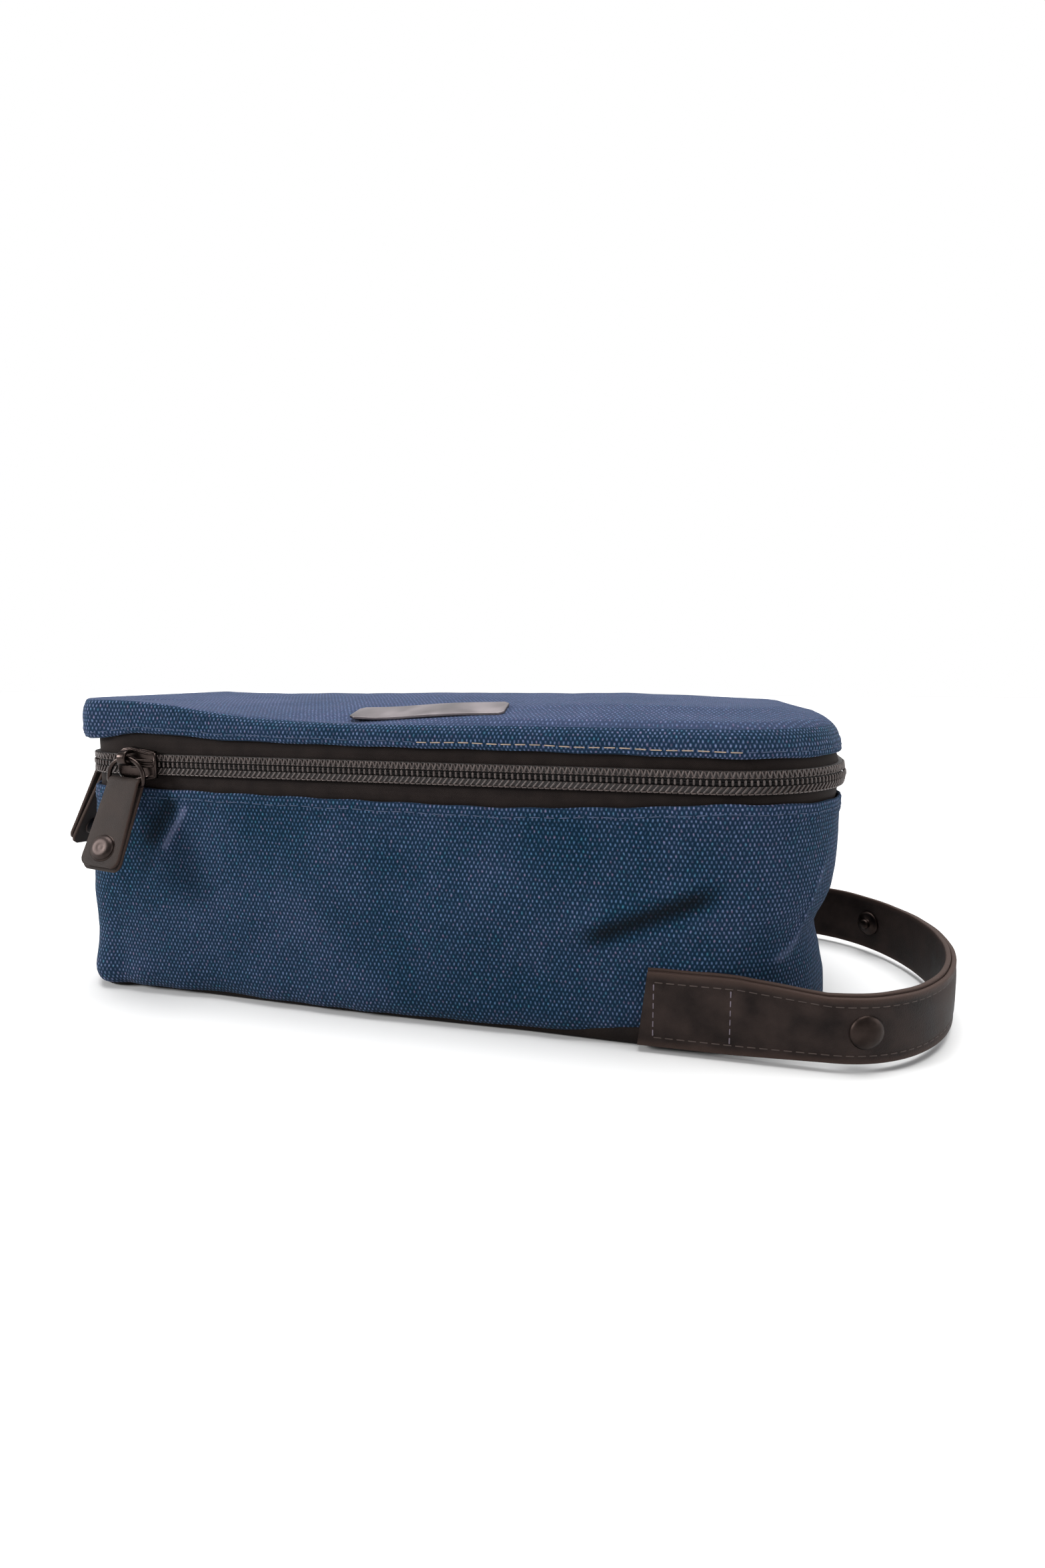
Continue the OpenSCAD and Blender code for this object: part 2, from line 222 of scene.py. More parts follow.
def band(name, s_values, out, z, extra, material, closed):
    """A closed shell swept along the outline. out and z have the shape (points in the section,
    len(s_values)), and each column of points is a loop. extra holds its attributes."""
    p, n = outline(s_values)
    rows, cols = out.shape
    x = p[None, :, 0] + n[None, :, 0] * out
    y = p[None, :, 1] + n[None, :, 1] * out
    verts = np.stack([x, y, z], -1).reshape(-1, 3)
    faces = [tuple(f) for f in grid(rows, cols, wrap_rows=True, wrap_cols=closed)]
    if not closed:
        faces.append(tuple(range(0, rows * cols, cols)))
        faces.append(tuple(reversed(range(cols - 1, rows * cols, cols))))
    obj = new_object(name, verts, faces, material)
    fix_normals(obj)
    for key, values in extra.items():
        flat = np.asarray(values)
        attribute(obj, key, flat.reshape(-1, 3) if flat.ndim == 3 else flat.ravel())
    if not closed:
        sharpen(obj, 60)
    return obj


def fix_normals(obj):
    bm = bmesh.new()
    bm.from_mesh(obj.data)
    bmesh.ops.recalc_face_normals(bm, faces=bm.faces)
    bm.to_mesh(obj.data)
    bm.free()


def tube_faces(rings, sides):
    """Faces of a tube of rings, closed at both ends."""
    total = rings * sides
    ends = [tuple(range(sides)), tuple(reversed(range(total - sides, total)))]
    return [tuple(f) for f in grid(rings, sides, wrap_cols=True)] + ends


def frames_along(path, up):
    """Side and up vectors at each point of a path, the side square to `up`."""
    path = np.asarray(path, float)
    tangent = unit(np.gradient(path, axis=0))
    up = np.broadcast_to(np.asarray(up, float), path.shape)
    side = unit(np.cross(tangent, up))
    return side, np.cross(side, tangent)


def sweep(name, path, up, section, material):
    """Sweeps a loop of (side, up) points along a path."""
    path = np.asarray(path, float)
    side, above = frames_along(path, up)
    section = np.asarray(section, float)
    verts = (path[:, None] + side[:, None] * section[None, :, :1]
             + above[:, None] * section[None, :, 1:]).reshape(-1, 3)
    obj = new_object(name, verts, tube_faces(len(path), len(section)), material)
    fix_normals(obj)
    return obj


def path_lengths(path):
    """Distance along a path to each of its points."""
    return np.concatenate([[0], np.cumsum(np.linalg.norm(np.diff(path, axis=0), axis=1))])


def ring_section(radius, sides=14):
    angles = np.arange(sides) * 2 * math.pi / sides
    return np.stack([np.cos(angles), np.sin(angles)], 1) * radius


def rounded_rectangle(w, h, r, steps=4):
    """Loop of points round a w x h rectangle with corner radius r, centred on the origin."""
    points = []
    for cx, cy, start in ((w / 2 - r, h / 2 - r, 0), (r - w / 2, h / 2 - r, 90),
                          (r - w / 2, r - h / 2, 180), (w / 2 - r, r - h / 2, 270)):
        for i in range(steps + 1):
            a = math.radians(start + 90 * i / steps)
            points.append((cx + r * math.cos(a), cy + r * math.sin(a)))
    return np.array(points)


def lathe(name, profile, material, sides=40):
    """Turns (radius, height) points round Z. The first and last points lie on the axis."""
    inner = profile[1:-1]
    a = np.arange(sides) * 2 * math.pi / sides
    verts = [(r * math.cos(t), r * math.sin(t), h) for r, h in inner for t in a]
    faces = [tuple(f) for f in grid(len(inner), sides, wrap_cols=True)]
    verts += [(0, 0, profile[0][1]), (0, 0, profile[-1][1])]
    n = len(inner) * sides
    faces += [(n, (i + 1) % sides, i) for i in range(sides)]
    faces += [(n + 1, n - sides + i, n - sides + (i + 1) % sides) for i in range(sides)]
    obj = new_object(name, verts, faces, material)
    fix_normals(obj)
    return obj


def plate(name, outline_points, thickness, bevel, material):
    """A flat plate with rounded edges: outline in x, y, from z = 0 up."""
    bm = bmesh.new()
    verts = [bm.verts.new((x, y, 0)) for x, y in outline_points]
    face = bm.faces.new(verts)
    made = bmesh.ops.extrude_face_region(bm, geom=[face])
    top = [v for v in made["geom"] if isinstance(v, bmesh.types.BMVert)]
    bmesh.ops.translate(bm, verts=top, vec=(0, 0, thickness))
    bmesh.ops.recalc_face_normals(bm, faces=bm.faces)
    edges = [e for e in bm.edges if abs(e.verts[0].co.z - e.verts[1].co.z) < 1e-6]
    bmesh.ops.bevel(bm, geom=edges, offset=bevel, segments=3, affect="EDGES", profile=0.6)
    mesh = bpy.data.meshes.new(name)
    bm.to_mesh(mesh)
    bm.free()
    mesh.transform(Matrix.Scale(MM, 4))
    obj = linked(name, mesh)
    mesh.shade_smooth()
    mesh.materials.append(material)
    sharpen(obj, 40)
    return obj


def place(obj, origin, x_axis, y_axis, z_axis):
    """Puts a mesh drawn at the origin at a point in mm, with its axes along these directions."""
    m = Matrix.Identity(4)
    for i, axis in enumerate((x_axis, y_axis, z_axis)):
        for row in range(3):
            m[row][i] = axis[row]
    for row in range(3):
        m[row][3] = origin[row] * MM
    obj.data.transform(m)
    if m.determinant() < 0:
        obj.data.flip_normals()


def capsules(name, starts, ends, radius, material, sides=6):
    """Many short round-ended threads or teeth in one mesh, each from a start to an end point."""
    starts, ends = np.asarray(starts, float), np.asarray(ends, float)
    along = ends - starts
    length = np.linalg.norm(along, axis=1)
    along /= length[:, None]
    helper = np.where(np.abs(along[:, 2:3]) > 0.8, [[1.0, 0, 0]], [[0, 0, 1.0]])
    side = unit(np.cross(along, helper))
    above = np.cross(side, along)
    r = np.broadcast_to(radius, length.shape)
    angle = np.arange(sides) * 2 * math.pi / sides
    rings = [(0.0, 0.35, -0.85), (0.0, 0.85, -0.4), (0.0, 1.0, 0.1),
             (1.0, 1.0, -0.1), (1.0, 0.85, 0.4), (1.0, 0.35, 0.85)]
    verts = np.zeros((len(starts), len(rings), sides, 3))
    for i, (t, k, push) in enumerate(rings):
        centre = starts + along * (t * length + push * r)[:, None]
        ring = (side[:, None] * np.cos(angle)[None, :, None]
                + above[:, None] * np.sin(angle)[None, :, None])
        verts[:, i] = centre[:, None] + ring * (k * r)[:, None, None]
    per = len(rings) * sides
    one = [tuple(f) for f in grid(len(rings), sides, wrap_cols=True)]
    one += [tuple(reversed(range(sides))), tuple(range(per - sides, per))]
    faces = [tuple(v + i * per for v in f) for i in range(len(starts)) for f in one]
    return new_object(name, verts.reshape(-1, 3), faces, material)


# ---------------------------------------------------------------- materials


class Nodes:
    """Short names for building one material's node tree."""

    def __init__(self, name):
        self.material = bpy.data.materials.new(name)
        self.material.use_nodes = True
        self.tree = self.material.node_tree
        self.shader = self.tree.nodes["Principled BSDF"]

    def feed(self, socket, value):
        if isinstance(value, bpy.types.NodeSocket):
            self.tree.links.new(value, socket)
        elif socket.type == "RGBA" and len(value) == 3:
            socket.default_value = (*value, 1)
        else:
            socket.default_value = value

    def add(self, kind, inputs=None, output=0, **settings):
        node = self.tree.nodes.new(kind)
        for key, value in settings.items():
            setattr(node, key, value)
        for key, value in (inputs or {}).items():
            self.feed(node.inputs[key], value)
        return node.outputs[output]

    def split(self, value, kind="ShaderNodeSeparateXYZ"):
        node = self.tree.nodes.new(kind)
        self.feed(node.inputs[0], value)
        return node.outputs

    def math(self, operation, a, b=0.0):
        return self.add("ShaderNodeMath", {0: a, 1: b}, operation=operation)

    def attribute(self, name, output="Vector"):
        return self.add("ShaderNodeAttribute", output=output, attribute_name=name)

    def noise(self, vector, scale, detail=2.0, output="Factor"):
        node = self.tree.nodes.new("ShaderNodeTexNoise")
        self.feed(node.inputs["Vector"], vector)
        node.inputs["Scale"].default_value = scale
        node.inputs["Detail"].default_value = detail
        return node.outputs[0 if output == "Factor" else 1]

    def mix(self, factor, a, b):
        node = self.tree.nodes.new("ShaderNodeMix")
        node.data_type = "RGBA"
        self.feed(node.inputs[0], factor)
        self.feed(node.inputs[6], a)
        self.feed(node.inputs[7], b)
        return node.outputs[2]

    def remap(self, value, low, high, to_low=0.0, to_high=1.0):
        return self.add("ShaderNodeMapRange", {0: value, 1: low, 2: high, 3: to_low, 4: to_high})

    def bump(self, height, distance_mm, strength=1.0):
        inputs = {"Height": height, "Distance": distance_mm * MM, "Strength": strength}
        return self.add("ShaderNodeBump", inputs)

    def finish(self, colour, roughness, normal=None, **constants):
        self.feed(self.shader.inputs["Base Color"], colour)
        self.feed(self.shader.inputs["Roughness"], roughness)
        if normal is not None:
            self.feed(self.shader.inputs["Normal"], normal)
        for key, value in constants.items():
            self.feed(self.shader.inputs[key.replace("_", " ")], value)
        return self.material


def srgb(r, g, b):
    """Linear colour from 0-255 display values."""
    return tuple(c / 12.92 if c <= 0.04045 else ((c + 0.055) / 1.055) ** 2.4
                 for c in (r / 255, g / 255, b / 255))


DOT_PITCH, ROW_PITCH = 1.34, 1.28                      # weave of the canvas, in mm
GROUND_DARK, GROUND_WORN = srgb(5, 27, 42), srgb(22, 38, 58)
HEAD_BLUE, HEAD_WORN = srgb(58, 86, 116), srgb(98, 108, 140)
HEAD_PINK, HEAD_TEAL = srgb(116, 92, 116), srgb(44, 98, 116)
# Paler colour for the lid's top: partly wear, partly painted light for the stronger light that falls on the
# top.
TOP_WEAR_AND_LIGHT = srgb(56, 62, 88)
STREAK = srgb(98, 106, 134)


def canvas_material():
    """Canvas with pale thread heads in staggered rows over a dark teal ground."""
    m = Nodes("canvas")
    cloth = m.attribute("cloth")
    place_mm = m.add("ShaderNodeVectorMath", {0: m.add("ShaderNodeTexCoord", output="Object"),
                                              "Scale": 1000.0}, operation="SCALE")
    on_top = m.math("GREATER_THAN", m.split(cloth)[2], 0.5)
    chosen = m.tree.nodes.new("ShaderNodeMix")
    chosen.data_type = "VECTOR"
    m.feed(chosen.inputs[0], on_top)
    m.feed(chosen.inputs[4], cloth)
    m.feed(chosen.inputs[5], place_mm)
    where = chosen.outputs[1]
    wobble = m.noise(where, 0.3, 3.0, "Color")
    shifted = m.add("ShaderNodeVectorMath", {0: wobble, 1: (1.0, 1.0, 0), 2: where},
                    operation="MULTIPLY_ADD")
    u, v, _ = m.split(shifted)
    across = m.math("COSINE", m.math("MULTIPLY", u, 2 * math.pi / DOT_PITCH))
    up = m.math("COSINE", m.math("MULTIPLY", v, math.pi / ROW_PITCH))
    rows = m.math("COSINE", m.math("MULTIPLY", v, 2 * math.pi / ROW_PITCH))
    heads = m.math("MULTIPLY", m.remap(m.math("MULTIPLY", across, up), -0.1, 0.8),
                   m.remap(rows, -1.0, 0.5, 0.35, 1.0))
    uneven = m.noise(where, 0.75, 1.0)
    dots = m.math("MULTIPLY", heads, m.remap(uneven, 0.32, 0.66, 0.35, 1.15))
    wide = m.noise(where, 0.022, 4.0)
    blotch = m.noise(where, 0.06, 3.0)
    # The attribute holds wear, which makes the canvas paler, and painted shade, as values below zero.
    wear_and_shade_values = m.attribute("wear", "Fac")
    lift = m.math("ADD", m.remap(wide, 0.38, 0.66, 0.0, 0.55), m.math("MULTIPLY", wear_and_shade_values, 0.9))
    lift = m.math("ADD", lift, m.remap(blotch, 0.45, 0.7, 0.0, 0.35))
    ground = m.mix(m.remap(lift, 0.0, 1.1), GROUND_DARK, GROUND_WORN)
    tint = m.split(m.noise(where, 0.62, 1.0, "Color"), "ShaderNodeSeparateColor")
    pale = m.mix(m.remap(lift, 0.0, 1.0), HEAD_BLUE, HEAD_WORN)
    pale = m.mix(m.remap(tint[0], 0.55, 0.7, 0.0, 0.6), pale, HEAD_PINK)
    pale = m.mix(m.remap(tint[1], 0.57, 0.7, 0.0, 0.7), pale, HEAD_TEAL)
    colour = m.mix(dots, ground, pale)
    # The lid's top is mixed towards a paler colour: partly wear, partly painted light.
    colour = m.mix(m.math("MULTIPLY", on_top, 0.42), colour, TOP_WEAR_AND_LIGHT)
    colour = m.mix(m.remap(wear_and_shade_values, 0.45, 1.0, 0.0, 0.5), colour, STREAK)
    # Painted shade: where the attribute is below zero (the fold's valley and the tab's shadow), the colour
    # goes to near black.
    canvas_painted_shade = m.remap(wear_and_shade_values, -1.0, 0.0, 0.85, 0.0)
    colour = m.mix(canvas_painted_shade, colour, srgb(8, 11, 14))
    slubs = m.noise(m.add("ShaderNodeVectorMath", {0: where, 1: (0.12, 1.6, 1)},
                          operation="MULTIPLY"), 1.0, 2.0)
    height = m.math("ADD", m.math("MULTIPLY", heads, 0.9), m.math("MULTIPLY", slubs, 0.45))
    normal = m.bump(height, 0.3, 0.7)
    return m.finish(colour, 0.92, normal, Sheen_Weight=0.03, Sheen_Roughness=0.5,
                    Specular_IOR_Level=0.04)


# Paler colour along the leather's edges: partly a burnished edge, partly a painted highlight.
LEATHER_EDGE = srgb(58, 45, 40)


def leather_material(name, dark, light, grain=1.3):
    m = Nodes(name)
    where = m.attribute("cloth")
    cells = m.add("ShaderNodeTexVoronoi", {"Vector": where, "Scale": grain}, feature="DISTANCE_TO_EDGE")
    fine = m.noise(where, 3.0, 4.0)
    wide = m.noise(where, 0.09, 4.0)
    edge = m.attribute("edge", "Fac")
    colour = m.mix(m.remap(wide, 0.3, 0.7), dark, light)
    colour = m.mix(m.math("MULTIPLY", edge, 0.7), colour, LEATHER_EDGE)
    height = m.math("ADD", m.remap(cells, 0.0, 0.12), m.math("MULTIPLY", fine, 0.7))
    return m.finish(colour, m.remap(wide, 0.3, 0.7, 0.5, 0.68), m.bump(height, 0.06, 0.6),
                    Specular_IOR_Level=0.09)


def tape_material():
    """Woven zip tape: fine herringbone ribs, with painted shade under the hem and under the coil."""
    m = Nodes("zip_tape")
    u, v, _ = m.split(m.attribute("cloth"))
    slant = m.math("PINGPONG", v, 0.9)
    ribs = m.math("SINE", m.math("MULTIPLY", m.math("ADD", u, slant), 2 * math.pi / 0.55))
    wide = m.noise(m.attribute("cloth"), 0.15, 3.0)
    colour = m.mix(m.remap(wide, 0.3, 0.7), srgb(26, 21, 20), srgb(35, 29, 27))
    colour = m.mix(m.remap(ribs, -1, 1, 0.0, 0.3), colour, srgb(22, 17, 16))
    # Painted shade under the lid's hem and under the coil, darkening the tape to near black.
    colour = m.mix(m.attribute("grime", "Fac"), colour, srgb(6, 4, 4))
    return m.finish(colour, 0.72, m.bump(ribs, 0.05, 0.5), Specular_IOR_Level=0.06)


def coil_material():
    m = Nodes("zip_coil")
    where = m.add("ShaderNodeTexCoord", output="Object")
    tone = m.noise(where, 900.0, 2.0)
    colour = m.mix(m.remap(tone, 0.35, 0.65), srgb(50, 42, 40), srgb(72, 62, 59))
    return m.finish(colour, 0.42, Specular_IOR_Level=0.4)


def metal_material(name, dark, light, rough, scale=160.0):
    m = Nodes(name)
    where = m.add("ShaderNodeTexCoord", output="Object")
    smudge = m.noise(where, scale, 4.0)
    colour = m.mix(m.remap(smudge, 0.35, 0.65), dark, light)
    height = m.noise(where, scale * 9, 2.0)
    return m.finish(colour, m.remap(smudge, 0.3, 0.7, rough - 0.07, rough + 0.1),
                    m.bump(height, 0.03, 0.5), Metallic=1.0)


def lining_material():
    m = Nodes("lining")
    where = m.attribute("cloth")
    u, v, _ = m.split(where)
    twill = m.math("SINE", m.math("MULTIPLY", m.math("ADD", u, v), 2 * math.pi / 0.8))
    wide = m.noise(where, 0.05, 4.0)
    colour = m.mix(m.remap(wide, 0.3, 0.7), srgb(92, 82, 72), srgb(116, 104, 92))
    return m.finish(colour, 0.8, m.bump(twill, 0.05, 0.6), Sheen_Weight=0.15)


def plain_material(name, colour, rough):
    m = Nodes(name)
    where = m.add("ShaderNodeTexCoord", output="Object")
    tone = m.noise(where, 300.0, 2.0)
    lighter = tuple(min(1.0, c * 1.35) for c in colour)
    return m.finish(m.mix(m.remap(tone, 0.35, 0.65), colour, lighter), rough)


canvas = canvas_material()
strap_leather = leather_material("strap_leather", srgb(17, 11, 10), srgb(46, 37, 34))
base_leather = leather_material("base_leather", srgb(16, 11, 10), srgb(28, 22, 19))
tab_leather = leather_material("tab_leather", srgb(38, 32, 30), srgb(52, 45, 42), 1.6)
tape = tape_material()
coil = coil_material()
cord = plain_material("zip_cord", srgb(26, 20, 19), 0.6)
# A near-black sheet of painted shade that stands for the dark gaps between the coil's heads.
void = plain_material("zip_shadow", srgb(9, 6, 6), 0.9)
black_nickel = metal_material("slider_metal", srgb(38, 31, 29), srgb(62, 54, 51), 0.3)
rivet_metal = metal_material("snap_metal", srgb(30, 24, 22), srgb(50, 42, 39), 0.42)
tab_rivet_metal = metal_material("rivet_metal", srgb(42, 36, 34), srgb(62, 54, 52), 0.42)
plate_metal = metal_material("nameplate_metal", srgb(84, 78, 80), srgb(110, 104, 106), 0.42, scale=90.0)
lining = lining_material()
pale_thread = plain_material("pale_thread", srgb(128, 112, 98), 0.8)
grey_thread = plain_material("grey_thread", srgb(84, 76, 84), 0.8)
dark_thread = plain_material("dark_thread", srgb(56, 46, 42), 0.8)
navy_thread = plain_material("navy_thread", srgb(36, 50, 74), 0.8)
board = plain_material("board", srgb(120, 106, 88), 0.9)

# ---------------------------------------------------------------- the soft shape of the walls

STEP = 1.25
CLOTH_T = 1.2
FOOT_H, FOOT_TUCK = 7.5, 4.6                            # how the canvas curls in under the bag
WORN_STREAK = ((-80.5, 68.4), (-93, 49))
FOLD = ((48, 30), (95, 50))


def facing(n):
    """How far each wall point faces front, back, left and right, 0 to 1."""
    return (np.clip(-n[:, 1], 0, 1) ** 1.5, np.clip(n[:, 1], 0, 1) ** 1.5,
            np.clip(-n[:, 0], 0, 1) ** 1.5, np.clip(n[:, 0], 0, 1) ** 1.5)


def cloth_u(s):
    """Distance along the cloth, equal to x on the front. It falls from 249 to -438 round the bag."""
    return STRAIGHT_R + STARTS[3] - np.asarray(s, float)


def round_the_bag(s, us, values, soften=7.0):
    """Values given at some places cloth_u round the bag, joined up smoothly."""
    order = np.argsort(us)
    us, values = np.asarray(us, float)[order], np.asarray(values, float)[order]
    u = cloth_u(np.mod(s, AROUND))
    return sum(np.interp(u + d, us, values) for d in np.linspace(-soften, soften, 7)) / 7


def wall_out(s, z):
    """How far the slack of the bag moves its outer face out from the outline. s and z are flat."""
    p, n = outline(s)
    x, y = p[:, 0], p[:, 1]
    front, back, _, right = facing(n)
    hang = np.interp(z, [0, 35, 42, 50, 58, 66, 74], [1, 1, 0.8, 0.45, 0.25, 0.08, 0])
    out = 2.7 * np.cos(math.pi * x / 2 / HALF_L) ** 2 * hang * (front + 0.8 * back)
    low_left = np.interp(z, [0, 6, 14, 26, 38, 50, 60], [5.4, 4.8, 3.7, 2.3, 1.2, 0.5, 0])
    out += smooth(0.1, 0.65, -n[:, 0]) * low_left
    corner = bump(cloth_u(s), -121, 27)
    out += corner * np.interp(z, [20, 34, 44, 56, 68, 74], [0, 1.4, 1.9, 1.5, 0.7, 0])
    sag = np.interp(z, [0, 8, 16, 24, 28, 31.5, 36, 40, 44, 50, 72, 76, 79, 84, 88, 92, 100],
                    [-2.6, -2, -2.1, -3.4, -4.7, -5.4, -4.2, -2.4, -1.0,
                     -0.2, 0.1, 0.6, 1.1, 0.4, -0.9, -1.6, -2])
    return out + right ** 0.8 * sag


def lid_out(s, z):
    """The same for the lid's band, which hangs a little over the zip at the left end."""
    p, n = outline(s)
    over = np.interp(z, [86, 88.5, 90.5, 96, 99, 101.5], [1.4, 2.7, 3.1, 3.0, 2.6, 1.6])
    points = np.column_stack([p, z])
    weave = 0.22 * ripple(points, 30, 11) + 0.06 * np.sin(s * 0.9 + 2 * np.sin(s * 0.17))
    return wall_out(s, z) + smooth(0.1, 0.6, -n[:, 0]) * over + weave


def body_features(s, z):
    """Folds, creases and slackness of the body canvas, with how worn each place is and where shade is painted
    into its colour.
    """
    p, n = outline(s)
    x, y = p[:, 0], p[:, 1]
    front, back, _, right = facing(n)
    points = np.stack([x, y, z], 1)
    calm = 1 - 0.75 * smooth(60, 70, z)
    patch = bump(x, 97, 40) * (1 - smooth(24, 34, z)) * (front + back)
    slack = 0.55 * ripple(points, 46, 3) + 0.16 * ripple(points, 13, 4)
    out = calm * (1 - 0.85 * np.clip(patch, 0, 1)) * slack
    side, along = distance_to_line(x, z, *FOLD)
    ends = smooth(0, 0.25, along) * (1 - smooth(0.75, 1, along))
    valley = np.exp(-((side - 0.6) / 2.2) ** 2)
    shade = np.exp(-((side - 0.2) / 3.4) ** 2)
    upper = np.exp(-((side + 4.0) / 3.2) ** 2)
    lower = np.exp(-((side - 6.5) / 4.0) ** 2)
    out += front * ends * (1.7 * upper + 0.6 * lower - 0.7 * valley)
    streak, t = distance_to_line(x, z, *WORN_STREAK)
    line = np.exp(-(streak / 2.0) ** 2) * smooth(-0.01, 0.2, t) * (1 - smooth(0.8, 1.01, t)) * front
    out += 0.7 * line
    # Painted shadow of the front tab: a dark band beside the worn streak.
    tab_shadow = np.exp(-((streak - 5.5) / 4.0) ** 2) * smooth(0.0, 0.25, t) * front
    tab_shadow *= 1 - smooth(0.85, 1.1, t)
    corner = right ** 0.5 * front ** 0.3
    crease_z = np.interp(x, [107, 112, 116, 118.6, 122], [27, 29, 33, 48, 56])
    crease = np.exp(-((z - crease_z) / 2.4) ** 2) * corner * smooth(104, 109, x) * (1 - smooth(119, 124, x))
    out += 1.3 * crease
    pucker = np.sin(s * 0.72 + 2 * np.sin(s * 0.13)) * np.exp(-np.clip(70 - z, 0, 40) / 4)
    out += 0.12 * pucker
    foot = np.sin(s * 0.31 + 1.7 * np.sin(s * 0.07)) * np.exp(-np.clip(z - 2, 0, 40) / 6)
    out += 0.25 * foot
    # Positive values are paler (the worn streak, the crease, the right front corner); negative values are
    # painted shade: the tab's painted shadow and the fold's valley.
    wear = line + 0.8 * crease + 0.3 * corner - 0.75 * tab_shadow
    # Painted shade in the fold's valley; the ridge below the fold is made a little lighter.
    wear += front * ends * (0.3 * lower - 1.1 * shade)
    wear += 0.25 * np.exp(-np.clip(z - 3, 0, 50) / 2.5) * (0.5 + 0.5 * np.sin(s * 0.21))
    return out, np.clip(wear, -1, 1)


def hem_low(s):
    """Height of the body canvas's hem, under the zip."""
    wavy = round_the_bag(s, [-438, -250, -214, -170, -107, -60, 28, 70, 91, 130, 183, 220, 249],
                         [71.2, 71.2, 71.4, 71.6, 72.0, 71.2, 70.3, 72.2, 74.0, 73.0, 72.4, 71.2, 71.2])
    return wavy + 0.15 * np.sin(s * 0.33)


def hem_up(s):
    """Height of the lid's hem, over the zip. It rides up over the front slider."""
    wavy = round_the_bag(s, [-438, -250, -190, -126, -112, -101, -90, -70, -42, -16, 27, 85, 130, 220, 249],
                         [87.4, 87.3, 87.0, 87.4, 88.7, 90.3, 90.2, 88.7,
                          88.1, 87.7, 87.6, 86.8, 86.4, 87.2, 87.4], 3.0)
    return wavy + 0.12 * np.sin(s * 0.27 + 1)


def build_body_canvas():
    s = stations(0, AROUND, STEP)[:-1]
    top = hem_low(s)
    foot = 1.2 + 1.9 * leather_shows(s)
    rise = np.concatenate([[0, 0.006, 0.014, 0.026, 0.042, 0.062, 0.086],
                           np.linspace(0.115, 1, int(66 / STEP))])
    z_outer = foot + rise[:, None] * (top - 0.55 - foot)
    flat_s = np.broadcast_to(s, z_outer.shape).ravel()
    slack, wear = body_features(flat_s, z_outer.ravel())
    out = (wall_out(flat_s, z_outer.ravel()) + slack).reshape(z_outer.shape)
    lift = np.clip((z_outer - foot) / FOOT_H, 0, 1)
    out -= FOOT_TUCK * (1 - np.sqrt(1 - (1 - lift) ** 2))
    out += 0.35 * smooth(5.5, 4.5, top - z_outer)
    turns = np.radians([30, 75, 120, 165])
    r = CLOTH_T / 2
    z_hem = top - 0.55 + r * np.sin(turns)[:, None]
    out_hem = out[-1] - r + r * np.cos(turns)[:, None]
    down = np.linspace(1, 0, 14)
    keep = np.interp(down, np.linspace(0, 1, len(rise)), rise)
    z_inner = foot + keep[:, None] * (top - 0.8 - foot)
    out_inner = np.stack([np.interp(z_inner[:, i], z_outer[:, i], out[:, i]) for i in range(len(s))], 1)
    z = np.concatenate([z_outer, z_hem, z_inner])
    out = np.concatenate([out, out_hem, out_inner - CLOTH_T])
    u = np.broadcast_to(cloth_u(s), z.shape)
    cloth = np.stack([u, z, np.zeros_like(z)], -1)
    wear_and_shade_values = np.zeros_like(z)
    wear_and_shade_values[:len(rise)] = wear.reshape(z_outer.shape) + 0.5 * np.exp(-(top - z_outer) / 1.2)
    wear_and_shade_values[len(rise):len(rise) + 4] = 0.35
    obj = band("body_canvas", s, out, z, {"cloth": cloth, "wear": wear_and_shade_values}, canvas, True)
    fix_to(obj, "bag_body", "canvas", "front_panel", "back_panel", "left_end_panel", "right_end_panel")


def leather_shows(s):
    """Where the leather base shows under the canvas: low along the right half of the front."""
    x = cloth_u(s)
    return smooth(24, 78, x) * (1 - smooth(108, 124, x))


def body_surface(s, z):
    """Outer face of the body canvas at places s, z (flat arrays), as how far out it is."""
    return wall_out(s, z) + body_features(s, z)[0] + 0.35 * smooth(5.5, 4.5, hem_low(s) - z)


def collapse(points, inset, t):
    """Points of the outline moved inwards to `inset`, then a share t of the way to the spine."""
    p, n = points
    start = p - n * inset
    spine_half = HALF_L - HALF_D
    spine = np.stack([np.clip(start[:, 0], -spine_half, spine_half), np.zeros(len(p))], 1)
    return start + (spine - start) * t


def rows_object(name, rows, material):
    """A surface from rows of (xy, z, attributes) that each go once round the outline."""
    verts = np.concatenate([np.column_stack([xy, z]) for xy, z, _ in rows])
    cols = len(rows[0][1])
    obj = new_object(name, verts, [tuple(f) for f in grid(len(rows), cols, wrap_cols=True)], material)
    for key in rows[0][2]:
        attribute(obj, key, np.concatenate([np.asarray(extra[key], float) for _, _, extra in rows]))
    bm = bmesh.new()
    bm.from_mesh(obj.data)
    bmesh.ops.remove_doubles(bm, verts=bm.verts, dist=0.02 * MM)
    bmesh.ops.recalc_face_normals(bm, faces=bm.faces)
    bm.to_mesh(obj.data)
    bm.free()
    obj.data.shade_smooth()
    return obj


def edge_height(s):
    """Height of the lid's upper edge: a stiff corner stands up at the left and dies away."""
    return round_the_bag(s, [-438, -290, -245, -215, -125, -103, -90, -73,
                             -56, -36, -16, 2, 21, 110, 150, 249],
                         [95.2, 95.2, 97.4, 101.2, 101.3, 101.1, 100.2, 97.8,
                          95.9, 95.3, 94.9, 94.5, 94.2, 94.2, 94.3, 95.2], 4.0)


def crispness(s):
    """How sharp the lid's upper edge is: 1 at the stiff left end and 0 elsewhere."""
    return round_the_bag(s, [-438, -275, -240, -110, -52, 249], [0, 0, 1, 1, 0, 0])


RIM, SHOULDER, MIDDLE = 4, 18, 58                      # distances in from the lid's edge


